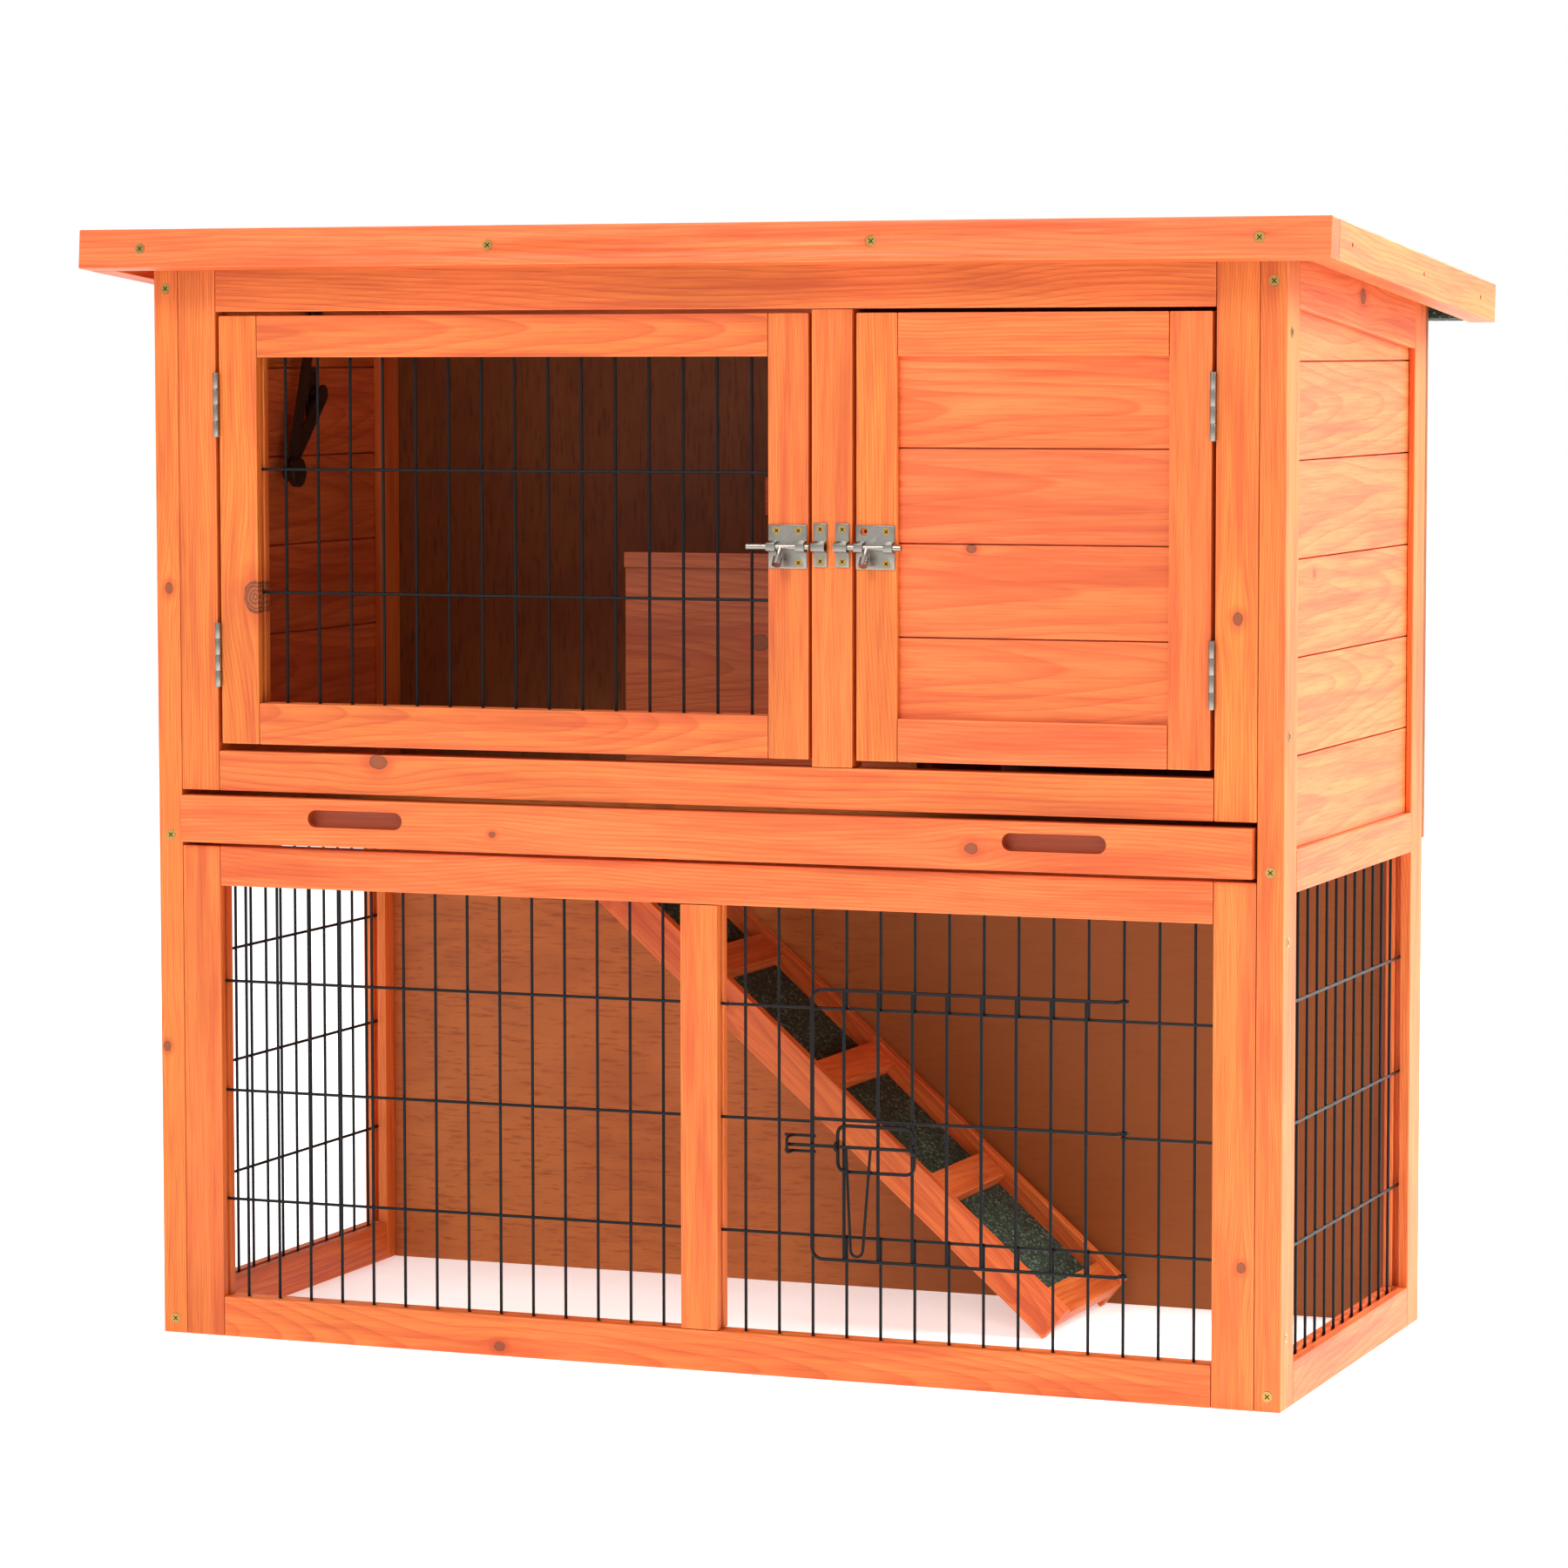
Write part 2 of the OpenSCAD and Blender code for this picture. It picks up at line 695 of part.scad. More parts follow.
// One leaf of a roof hinge: its knuckles and a plate with gaps for the other leaf's
module roof_leaf(x, which) {
  step = hinge_h / knuckles;
  translate([x - hinge_h / 2, 0, 0]) {
    translate([0, axis_y, axis_z]) rotate([0, 90, 0]) knuckle_row(hinge_h, roof_knuckle_r, which);
    difference() {
      children();
      for (k = [1 - which:2:knuckles - 1])
        board([k * step - 0.15, back_face - 1, axis_z - roof_knuckle_r - 0.4],
              [(k + 1) * step + 0.15, back_face + 6, axis_z + roof_knuckle_r + 0.4]);
      translate([-past, axis_y, axis_z]) rotate([0, 90, 0])
        cylinder(r = pin_r + 0.05, h = hinge_h + 2 * past);
    }
  }
}

module roof_hinge_leaves() color(nickel) in_body() for (x = roof_hinge_x) roof_leaf(x, 1)
  translate([0, axis_y, eaves_z(axis_y) - leaf_t - 0.05]) rotate([-roof_slope, 0, 0])
    cube([hinge_h, roof_leaf_w - 9, leaf_t]);

module hinge_pins() color(nickel) in_body() {
  for (x = [left_axis_x, right_axis_x]) for (z = door_hinge_z)
    translate([x, hinge_y, z]) cylinder(r = pin_r, h = hinge_h);
  for (x = roof_hinge_x) translate([x - hinge_h / 2, axis_y, axis_z]) rotate([0, 90, 0])
    cylinder(r = pin_r, h = hinge_h);
}

// ---------- tray ----------

module tray_front() color(fir_pink) in_body() difference() {
  board([-tray_half, -tray_proud, tray_z], [tray_half, tray_back_y, tray_z + tray_front_h]);
  for (x = [-slot_x, slot_x]) translate([x, -tray_proud - past, slot_z]) rotate([-90, 0, 0])
    linear_extrude(slot_depth + past) hull()
      for (s = [-1, 1]) translate([s * (slot_len - slot_h) / 2, 0]) circle(d = slot_h);
}

module tray_pan() color(plywood) in_body() {
  y = [tray_back_y, tray_back_y + tray_depth];
  difference() {
    board([-pan_half, y[0], pan_z], [pan_half, y[1], pan_z + pan_h]);
    board([-pan_half + pan_wall, y[0] + pan_wall, pan_z + pan_t],
          [pan_half - pan_wall, y[1] - pan_wall, pan_z + pan_h + past]);
  }
}

// ---------- floors and inner walls ----------

module floor_beams() color(fir) in_body() {
  board([-side_in, beam_y, beam_bottom], [side_in, beam_y + beam_t, beam_top]);
  board([landing_x - header_t, beam_y + beam_t + joint, beam_bottom],
        [landing_x, back_inner - joint, beam_top]);
  both_sides() board([side_in - runner_w, front_t, beam_bottom],
                     [side_in, beam_y - joint, pan_z - 0.5]);
}

module floor_panels() color(plywood) in_body() {
  board([-side_in, beam_y + beam_t, beam_top], [landing_x, body_d, floor_z]);
  board([nest_x - 10, beam_y + beam_t, beam_top], [side_in, body_d, floor_z]);
}

module stair_guard() color(fir_pink) in_body() {
  y = beam_y + cap_over;
  board([guard_x, y, beam_top], [nest_x, y + guard_t, guard_top - cap_h]);
  board([guard_x, y - cap_over, guard_top - cap_h], [nest_x, y + guard_t + cap_over, guard_top]);
}

// Nest-room wall with an arched doorway; its foot clears the tray
module nest_divider() color(plywood) in_body() {
  door_y = [45, 165];
  door_r = (door_y[1] - door_y[0]) / 2;
  foot = upper_bottom - 1;
  back = beam_y + beam_t + 1;
  difference() {
    side_cut([nest_x, nest_x + nest_t],
      [[front_t + 1, foot], [back, foot], [back, floor_z], [body_d - 21, floor_z],
       [body_d - 21, roof_top(body_d) - 4], [front_t + 1, roof_top(front_t) - 4]]);
    board([nest_x - past, door_y[0], foot - past], [nest_x + nest_t + past, door_y[1], foot + 120]);
    translate([nest_x - past, (door_y[0] + door_y[1]) / 2, foot + 120]) rotate([0, 90, 0])
      cylinder(r = door_r, h = nest_t + 2 * past);
  }
}

// ---------- ramp ----------

// The ramp's own frame: X runs up the slope from the foot, Z stands square to it
module in_ramp() {
  translate([ramp_foot_x, ramp_y, 0]) rotate([0, ramp_slope, 0]) rotate([0, 0, 180])
    translate([0, -ramp_w, 0]) children();
}

// The ramp ends flush with the landing
module ramp_end() {
  intersection() {
    children();
    board([landing_x + 0.2, 0, 0], [half_w, body_d, floor_z]);
  }
}

module ramp_stringers() color(fir) in_body() ramp_end() in_ramp()
  for (y = [0, ramp_w - stringer_t]) board([0, y, 0], [ramp_run, y + stringer_t, stringer_h]);

module ramp_base() color(plywood) in_body() ramp_end() in_ramp()
  board([2, stringer_t, ramp_base_h], [ramp_run, ramp_w - stringer_t, ramp_base_h + ramp_base_t]);

// Each cleat's lower edge is a whole pitch from the foot
module ramp_cleats() color(fir) in_body() ramp_end() in_ramp() for (k = [0:cleats - 1])
  board([cleat_pitch * k, stringer_t, ramp_base_h + ramp_base_t],
        [cleat_pitch * k + cleat_w, ramp_w - stringer_t, ramp_base_h + ramp_base_t + cleat_h]);

module ramp_felt() color(felt_green) in_body() ramp_end() in_ramp() for (k = [0:cleats - 1])
  board([cleat_pitch * k + cleat_w, stringer_t, ramp_base_h + ramp_base_t],
        [cleat_pitch * (k + 1), ramp_w - stringer_t, ramp_base_h + ramp_base_t + ramp_felt_t]);

// ---------- roof ----------

module roof_front_fascia() color(fir) in_roof() difference() {
  board([-roof_w / 2, 0, 0], [roof_w / 2, fascia_t, fascia_h]);
  for (x = fascia_screw_x) translate([x, 0, fascia_h / 2]) screw_hole(len = 12);
}

module roof_side_fascias() color(fir) in_roof() both_sides() difference() {
  board([roof_w / 2 - fascia_t, fascia_t, 0], [roof_w / 2, roof_len, fascia_h]);
  for (y = pilot_y) translate([roof_w / 2 - 8, y, fascia_h / 2]) rotate([0, 90, 0])
    cylinder(r = 1.7, h = 8 + past);
}

// The rail behind the back wall that the roof hinges on; felt wraps it
module rear_rail(grow) {
  board([-roof_w / 2 + fascia_t, rear_rail_y + felt_t - grow, felt_t - grow],
        [roof_w / 2 - fascia_t, rear_rail_y + rear_rail_w - felt_t + grow, deck_z]);
}

module roof_rear_rail() color(fir) in_roof() rear_rail(0);

module roof_deck() color(plywood) in_roof()
  board([-roof_w / 2 + fascia_t, fascia_t, deck_z], [roof_w / 2 - fascia_t, roof_len, deck_z + deck_t]);

// The covering on the deck, and the strip wrapped round the rear rail
module roof_felt() color(felt_green) in_roof() {
  board([-roof_w / 2 + fascia_t, fascia_t, deck_z + deck_t], [roof_w / 2 - fascia_t, roof_len, fascia_h]);
  difference() {
    rear_rail(felt_t);
    translate([0, 0, tiny]) scale([1.01, 1, 1]) rear_rail(0);
    translate([0, 0, -tiny]) scale([1.01, 1, 1]) rear_rail(0);
  }
}

// ---------- folding stay ----------

// A flat bar with round ends between two points of the wall's plane
module stay_bar(x, a, b) {
  translate([x, 0, 0]) rotate([90, 0, 90]) linear_extrude(stay_t) hull() {
    translate(a) circle(d = stay_w);
    translate(b) circle(d = stay_w);
  }
}

module stay_pin(x, p, r, h) {
  translate([x, p[0], p[1]]) rotate([0, 90, 0]) cylinder(r = r, h = h);
}

stay_plate_x = -(half_w - slat_setback - slat_t);
lower_arm_x = stay_x + stay_t;
upper_arm_x = lower_arm_x + stay_t + 0.4;
roof_bracket_x = upper_arm_x + stay_t + 0.4;

module stay_wall_bracket() color(dark_steel) in_body() {
  board([stay_plate_x, stay_wall[0] - 9, stay_wall[1] - 20],
        [stay_plate_x + stay_t, stay_wall[0] + 9, stay_wall[1] + 20]);
  stay_pin(stay_plate_x + stay_t - past, stay_wall, stay_pin_r, lower_arm_x - stay_plate_x + past + 0.2);
  stay_pin(stay_plate_x + stay_t - past, stay_wall, stay_pin_r + 2, lower_arm_x - stay_plate_x - stay_t + past - 0.4);
}

module stay_lower_arm() color(dark_steel) in_body() {
  difference() {
    stay_bar(lower_arm_x, stay_wall, stay_elbow);
    stay_pin(lower_arm_x - past, stay_wall, stay_pin_r + 0.1, 2 * stay_t + past);
  }
}

// The elbow's thumb knob is on the upper arm
module stay_upper_arm() color(dark_steel) in_body() {
  difference() {
    stay_bar(upper_arm_x, stay_elbow, stay_roof);
    stay_pin(upper_arm_x - past, stay_roof, stay_pin_r + 0.1, 2 * stay_t + past);
  }
  stay_pin(upper_arm_x + stay_t - tiny, stay_elbow, 4, 3);
  stay_pin(upper_arm_x + stay_t + 2, stay_elbow, 11, 5);
}

// A plate that hangs from the deck and carries the upper pivot
module stay_roof_bracket() color(dark_steel) {
  in_body() stay_pin(upper_arm_x, stay_roof, stay_pin_r, stay_t + 0.5);
  in_body() {
    deck_under = roof_top(stay_roof[0] + 9) + roof_gap;
    board([roof_bracket_x, stay_roof[0] - 9, stay_roof[1] - 9],
          [roof_bracket_x + stay_t, stay_roof[0] + 9, deck_under]);
  }
}

// ---------- wire door ----------

// A rounded bar of the wire door, along X
module wd_bar(x, y, z, r = wd_wire_r) {
  translate([x[0], y, z]) rotate([0, 90, 0]) cylinder(r = r, h = x[1] - x[0], $fn = $wire_fn);
}

// A hook bent round the hinge upright, open only where its bar runs in
module wd_hook(z) {
  ring = wire_r + hook_room + wd_wire_r;
  translate([wd_hinge_x, wd_hinge_y + wire_gap / 2, z])
    rotate_extrude($fn = 24) translate([ring, 0]) circle(r = wd_wire_r, $fn = 16);
}

module wire_door() color(black_wire) in_body() {
  for (z = wd_rows) {
    wd_bar([wd_left, wd_hinge_x - 4], wd_front, z);
    translate([wd_hinge_x - 4, wd_front, z]) rotate([0, 0, 60]) rotate([0, 90, 0])
      cylinder(r = wd_wire_r, h = 5.4, $fn = $wire_fn);
    wd_hook(z);
  }
  for (k = [aperture_first + 1:aperture_last - 1])
    translate([mesh_half_x + wire_pitch * k, wd_back, wd_rows[0] - wd_wire_r])
      cylinder(r = wd_wire_r, h = wd_rows[2] - wd_rows[0] + 2 * wd_wire_r, $fn = $wire_fn);
  translate([wd_left, wd_front, wd_rows[0] - wd_wire_r])
    cylinder(r = wd_wire_r, h = wd_rows[2] - wd_rows[0] + 2 * wd_wire_r, $fn = $wire_fn);
  latch_loop();
}

// The loop that carries the latch: cut corners, and an eye at each side
module latch_loop() {
  bend = 6;
  for (z = loop_z) {
    up = z == loop_z[0] ? 1 : -1;
    wd_bar([loop_x[0] + bend - 0.4, loop_x[1] - bend + 0.4], loop_y, z);
    for (x = loop_x) {
      in = x == loop_x[0] ? 1 : -1;
      translate([x + in * bend, loop_y, z]) rotate([0, atan2(-in, up), 0]) translate([0, 0, -0.4])
        cylinder(r = wd_wire_r, h = bend * sqrt(2) + 0.8, $fn = $wire_fn);
    }
  }
  for (x = loop_x) {
    translate([x, loop_y, loop_z[0] + bend - 0.4])
      cylinder(r = wd_wire_r, h = loop_z[1] - loop_z[0] - 2 * bend + 0.8, $fn = $wire_fn);
    translate([x, latch_y, latch_z]) rotate([0, 90, 0]) rotate_extrude($fn = 12)
      translate([latch_r + 0.35 + wd_wire_r, 0]) circle(r = wd_wire_r, $fn = 8);
  }
}

module wire_latch() color(black_wire) in_body() translate([0, latch_y, latch_z]) {
  translate([latch_x[0], 0, 0]) rotate([0, 90, 0])
    cylinder(r = latch_r, h = latch_x[1] - latch_x[0]);
  drop = latch_z - handle_z;
  mid = (handle_x[0] + handle_x[1]) / 2;
  foot = 4.5;
  for (s = [-1, 1]) hull() {
    translate([mid + s * (handle_x[1] - handle_x[0]) / 2, 0, 0]) sphere(r = 1, $fn = 8);
    translate([mid + s * foot, -3, -drop + foot]) sphere(r = 1, $fn = 8);
  }
  translate([mid, -3, -drop + foot]) rotate([90, 0, 0]) rotate([0, 0, 180])
    rotate_extrude(angle = 180, $fn = 24) translate([foot, 0]) circle(r = 1, $fn = 16);
}

// ---------- screws ----------

module body_screws() color(zinc_yellow) in_body() {
  both_sides() {
    for (z = post_screw_z) translate([half_w - side_t / 2, 0, z]) screw();
    for (z = side_screw_z) translate([half_w, side_screw_y, z]) rotate([0, 0, 90]) screw(len = 12);
  }
  keep_screws() screw(small_head_r, small_shank_r, 9);
}

module roof_screws() color(zinc_yellow) in_roof() for (x = fascia_screw_x)
  translate([x, 0, fascia_h / 2]) screw(len = 12);

module left_door_screws() color(zinc_yellow) in_body() plate_screws()
  screw(small_head_r, small_shank_r, 9);

// The right door's plate has lost its upper left screw
module right_door_screws() color(zinc_yellow) in_body() bolt_mirror()
  for (p = [[-1, -1], [-1, 1], [1, -1]])
    translate([plate_mid + p[0] * screw_dx, -plate_t, bolt_z + p[1] * screw_dz])
      screw(small_head_r, small_shank_r, 9);

left_posts();
left_rails();
left_slats();
left_mesh();
right_posts();
right_rails();
right_slats();
right_mesh();
back_upper_panel();
back_lower_panel();
back_rails();
upper_stiles();
upper_rails();
upper_mullion();
lower_stiles();
lower_rails();
lower_mullion();
lower_left_mesh();
lower_right_mesh();
left_door_stiles();
left_door_rails();
left_door_mesh();
right_door_stiles();
right_door_rails();
right_door_slats();
left_bolt_plate();
left_bolt();
right_bolt_plate();
right_bolt();
bolt_keeps();
frame_hinge_leaves();
left_door_hinge_leaves();
right_door_hinge_leaves();
hinge_pins();
tray_front();
tray_pan();
roof_front_fascia();
roof_side_fascias();
roof_rear_rail();
roof_deck();
roof_felt();
roof_hinge_leaves();
stay_wall_bracket();
stay_lower_arm();
stay_upper_arm();
stay_roof_bracket();
floor_panels();
floor_beams();
stair_guard();
nest_divider();
ramp_stringers();
ramp_base();
ramp_cleats();
ramp_felt();
wire_door();
wire_latch();
body_screws();
roof_screws();
left_door_screws();
right_door_screws();
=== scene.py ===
"""Two-storey rabbit hutch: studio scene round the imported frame. Metres, the frame's own axes."""

import json
import math
import random

import bmesh
import bpy
from mathutils import Matrix, Vector

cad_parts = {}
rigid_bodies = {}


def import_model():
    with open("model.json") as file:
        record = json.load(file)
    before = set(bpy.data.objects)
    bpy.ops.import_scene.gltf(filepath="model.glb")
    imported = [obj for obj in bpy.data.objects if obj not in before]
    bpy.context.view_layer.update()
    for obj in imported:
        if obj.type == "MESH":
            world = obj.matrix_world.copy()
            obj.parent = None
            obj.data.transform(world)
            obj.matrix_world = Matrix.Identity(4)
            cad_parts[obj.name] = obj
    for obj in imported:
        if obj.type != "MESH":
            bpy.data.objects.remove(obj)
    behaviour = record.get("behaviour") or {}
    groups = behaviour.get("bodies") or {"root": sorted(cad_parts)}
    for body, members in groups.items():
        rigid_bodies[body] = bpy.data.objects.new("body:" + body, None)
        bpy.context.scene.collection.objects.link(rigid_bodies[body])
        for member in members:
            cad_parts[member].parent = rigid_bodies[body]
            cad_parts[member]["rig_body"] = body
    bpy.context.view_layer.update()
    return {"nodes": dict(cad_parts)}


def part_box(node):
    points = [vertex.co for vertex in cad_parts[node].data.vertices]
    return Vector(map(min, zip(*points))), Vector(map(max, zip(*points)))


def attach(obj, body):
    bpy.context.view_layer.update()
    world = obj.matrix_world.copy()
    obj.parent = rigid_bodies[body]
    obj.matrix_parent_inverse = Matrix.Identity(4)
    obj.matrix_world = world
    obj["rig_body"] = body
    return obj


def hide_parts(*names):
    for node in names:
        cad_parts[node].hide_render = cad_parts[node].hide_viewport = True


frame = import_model()
NODES = frame["nodes"]
FRONT_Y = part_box("left_posts")[0][1]
SCENE = bpy.context.scene


def at(x, y, z):
    """A point given in millimetres from the front frames' face."""
    return Vector((x / 1000, y / 1000 + FRONT_Y, z / 1000))


def placed(points):
    return [at(*p) for p in points]


# ---------- camera, light and floor ----------

def aim(obj, location, azimuth, elevation, roll):
    """Puts an object at a place, looking back at the hutch. Azimuth 0 is straight in front."""
    az, el, ro = math.radians(azimuth), math.radians(elevation), math.radians(roll)
    back = Vector((math.sin(az) * math.cos(el), -math.cos(az) * math.cos(el), math.sin(el)))
    right = Vector((math.cos(az), math.sin(az), 0))
    up = back.cross(right)
    x = math.cos(ro) * right + math.sin(ro) * up
    y = -math.sin(ro) * right + math.cos(ro) * up
    obj.matrix_world = Matrix.Translation(location) @ Matrix((x, y, back)).transposed().to_4x4()


camera = bpy.data.objects.new("camera", bpy.data.cameras.new("camera"))
SCENE.collection.objects.link(camera)
camera.data.sensor_width = 36
camera.data.lens = 122.796
camera.data.shift_x = 0.0551
camera.data.shift_y = 0.0008
aim(camera, at(1372.3, -3435.1, 710.8), azimuth=21.78, elevation=4.63, roll=-0.13)
SCENE.camera = camera


def area_light(name, location, target, size, power):
    data = bpy.data.lights.new(name, "AREA")
    data.shape = "RECTANGLE"
    data.size, data.size_y = size
    data.energy = power
    light = bpy.data.objects.new(name, data)
    SCENE.collection.objects.link(light)
    z = (Vector(location) - Vector(target)).normalized()
    x = Vector((0, 0, 1)).cross(z).normalized()
    light.matrix_world = Matrix.Translation(location) @ Matrix((x, z.cross(x), z)).transposed().to_4x4()


RIGHT_WALL = (0.42, 0, 0.7)
area_light("key_right", (2.3, 0.2, 2.0), RIGHT_WALL, size=(1.2, 1.2), power=84)
area_light("rim_right", (1.9, 3.3, 2.2), RIGHT_WALL, size=(1.8, 1.6), power=110)
area_light("front_high", (-0.6, -2.9, 2.9), (0, 0, 0.4), size=(1.6, 1.2), power=66)
area_light("top_soft", (0.2, -0.2, 3.2), (0, 0, 0), size=(2.6, 2.2), power=14)

# The backdrop shows white, and lights the hutch a little less than it shows
BACKDROP_LIGHTS, BACKDROP_SHOWS = 0.6, 1.0
world = bpy.data.worlds.new("studio")
world.use_nodes = True
backdrop = world.node_tree.nodes["Background"]
backdrop.inputs[0].default_value = (1, 1, 1, 1)
ray = world.node_tree.nodes.new("ShaderNodeLightPath")
level = world.node_tree.nodes.new("ShaderNodeMapRange")
level.inputs["To Min"].default_value = BACKDROP_LIGHTS
level.inputs["To Max"].default_value = BACKDROP_SHOWS
world.node_tree.links.new(ray.outputs["Is Camera Ray"], level.inputs["Value"])
world.node_tree.links.new(level.outputs[0], backdrop.inputs[1])
SCENE.world = world
SCENE.view_settings.view_transform = "Standard"
SCENE.view_settings.look = "None"
SCENE.view_settings.exposure = 0.0


# ---------- node helpers ----------

class Graph:
    """A short way to write a material's nodes."""

    def __init__(self, name):
        self.mat = bpy.data.materials.new(name)
        self.mat.use_nodes = True
        self.tree = self.mat.node_tree
        self.bsdf = self.tree.nodes["Principled BSDF"]

    def node(self, kind, **props):
        n = self.tree.nodes.new(kind)
        for key, value in props.items():
            setattr(n, key, value)
        return n

    def put(self, socket, value):
        if isinstance(value, bpy.types.NodeSocket):
            self.tree.links.new(value, socket)
        else:
            socket.default_value = value

    def math(self, op, a, b=0.0, c=0.0, clamp=False):
        n = self.node("ShaderNodeMath", operation=op, use_clamp=clamp)
        for i, value in enumerate((a, b, c)):
            self.put(n.inputs[i], value)
        return n.outputs[0]

    def plus(self, a, b, clamp=False):
        return self.math("ADD", a, b, clamp=clamp)

    def minus(self, a, b):
        return self.math("SUBTRACT", a, b)

    def times(self, a, b, clamp=False):
        return self.math("MULTIPLY", a, b, clamp=clamp)

    def times_plus(self, a, b, c):
        return self.math("MULTIPLY_ADD", a, b, c)

    def above(self, a, limit):
        return self.math("GREATER_THAN", a, limit)

    def squares(self, a, b):
        """The sum of two squares."""
        return self.plus(self.times(a, a), self.times(b, b))

    def mix(self, factor, a, b, mode="MIX"):
        n = self.node("ShaderNodeMix", data_type="RGBA", blend_type=mode)
        self.put(n.inputs[0], factor)
        self.put(n.inputs[6], a)
        self.put(n.inputs[7], b)
        return n.outputs[2]

    def shaded(self, colour, level):
        """A colour made lighter or darker."""
        return self.mix(1.0, colour, self.vector(level, level, level), "MULTIPLY")

    def ramp(self, value, low, high, to_low=0.0, to_high=1.0):
        n = self.node("ShaderNodeMapRange", interpolation_type="SMOOTHSTEP")
        for i, v in enumerate((value, low, high, to_low, to_high)):
            self.put(n.inputs[i], v)
        return n.outputs[0]

    def vector(self, x, y, z):
        n = self.node("ShaderNodeCombineXYZ")
        for i, v in enumerate((x, y, z)):
            self.put(n.inputs[i], v)
        return n.outputs[0]

    def stretch(self, vector, scale):
        n = self.node("ShaderNodeVectorMath", operation="MULTIPLY")
        self.put(n.inputs[0], vector)
        n.inputs[1].default_value = scale
        return n.outputs[0]

    def attribute(self, name):
        n = self.node("ShaderNodeAttribute", attribute_name=name)
        s = self.node("ShaderNodeSeparateXYZ")
        self.tree.links.new(n.outputs["Vector"], s.inputs[0])
        return s.outputs[0], s.outputs[1], s.outputs[2]

    def noise(self, vector, scale=1.0, detail=2.0, rough=0.5, w=0.0):
        n = self.node("ShaderNodeTexNoise", noise_dimensions="4D")
        self.put(n.inputs["Vector"], vector)
        self.put(n.inputs["W"], w)
        self.put(n.inputs["Scale"], scale)
        self.put(n.inputs["Detail"], detail)
        self.put(n.inputs["Roughness"], rough)
        return n.outputs[0]

    def place(self):
        return self.node("ShaderNodeTexCoord").outputs["Object"]

    def bump(self, height, distance, strength):
        n = self.node("ShaderNodeBump")
        n.inputs["Strength"].default_value = strength
        n.inputs["Distance"].default_value = distance
        self.tree.links.new(height, n.inputs["Height"])
        self.tree.links.new(n.outputs[0], self.bsdf.inputs["Normal"])

    def finish(self, colour, rough, metal=0.0, gloss=0.5):
        self.put(self.bsdf.inputs["Base Color"], colour)
        self.put(self.bsdf.inputs["Roughness"], rough)
        self.bsdf.inputs["Metallic"].default_value = metal
        self.bsdf.inputs["Specular IOR Level"].default_value = gloss
        return self.mat


def rgb(r, g, b):
    """A display colour from 0 to 255 as linear values."""
    def lin(c):
        c /= 255
        return c / 12.92 if c <= 0.04045 else ((c + 0.055) / 1.055) ** 2.4
    return (lin(r), lin(g), lin(b), 1.0)


# ---------- materials ----------

FIR_YELLOW, FIR_ROSE = rgb(244, 134, 46), rgb(252, 120, 60)
LATE_WOOD = rgb(192, 74, 22)
STREAK_DARK, STREAK_PALE = rgb(202, 76, 24), rgb(255, 156, 84)
FIBRE_DARK, FIBRE_PALE = rgb(194, 70, 20), rgb(255, 158, 90)
KNOT_HALO, KNOT_RIM = rgb(186, 68, 20), rgb(72, 30, 12)
KNOT_DARK, KNOT_LIGHT = rgb(118, 52, 22), rgb(168, 84, 38)
# End grain is darker; the same colour is also painted shade inside the tray's finger slots
# The paler edge colour is partly rubbed stain and partly a painted highlight
END_GRAIN_AND_SLOT_SHADE, EDGE_WEAR_AND_HIGHLIGHT = rgb(160, 62, 22), rgb(255, 160, 96)
NO_KNOT = 0.0005  # a knot radius below this, in metres, stands for no knot
FLAT_SAWN_FROM = 5.0  # rings wider than this, in millimetres, arch as on a flat-sawn board


def knot(g, name, grain, seed):
    """One knot: the distance from its middle in its own radii, how much it pulls the grain
    sideways, and whether it is there."""
    u, v, w = grain
    knot_u, knot_v, radius = g.attribute(name)
    du, dv = g.minus(u, knot_u), g.minus(v, knot_v)
    there = g.above(radius, NO_KNOT)
    lump = g.times_plus(g.noise(g.vector(u, v, w), scale=160, detail=1, w=seed), 0.5, 0.75)
    distance = g.times(g.math("SQRT", g.squares(g.times(du, 0.78), dv)), lump)
    ratio = g.math("DIVIDE", distance, g.math("MAXIMUM", radius, 0.0001))
    reach = g.times(g.times(radius, radius), 9.0)
    fall = g.math("DIVIDE", g.squares(g.times(du, 0.4), dv), reach)
    pull = g.times(g.math("EXPONENT", g.times(fall, -1.0)), there)
    return ratio, g.times(g.times(dv, pull), 0.75), there


def late_wood(g, u, across, w, seed, spacing):
    """The dark part of each yearly ring, from 0 to 1."""
    drift = g.noise(g.vector(g.times(u, 2.4), g.times(across[0], 9), g.times(w, 9)), w=seed)
    arc = g.times(g.minus(drift, 0.5), 0.06)
    heart_at = g.times(g.minus(g.math("FRACT", g.times(seed, 3.7)), 0.5), 0.03)
    off = g.minus(across[1], heart_at)
    bowl = g.times_plus(u, 0.09, g.math("SQRT", g.times_plus(off, off, 0.00012)))
    arch = g.times(g.minus(bowl, across[1]), g.above(spacing, FLAT_SAWN_FROM))
    ring_at = g.plus(g.plus(g.times_plus(w, 0.6, across[1]), arc), arch)
    uneven = g.noise(g.vector(ring_at, 0.0, 0.0), scale=90, w=seed)
    ring = g.math("DIVIDE", g.times(ring_at, 1000.0), spacing)
    ring = g.math("FRACT", g.plus(g.times_plus(uneven, 1.6, ring), g.times(seed, 7.0)))
    return g.times(g.math("POWER", ring, 2.6), g.ramp(ring, 1.0, 0.9))


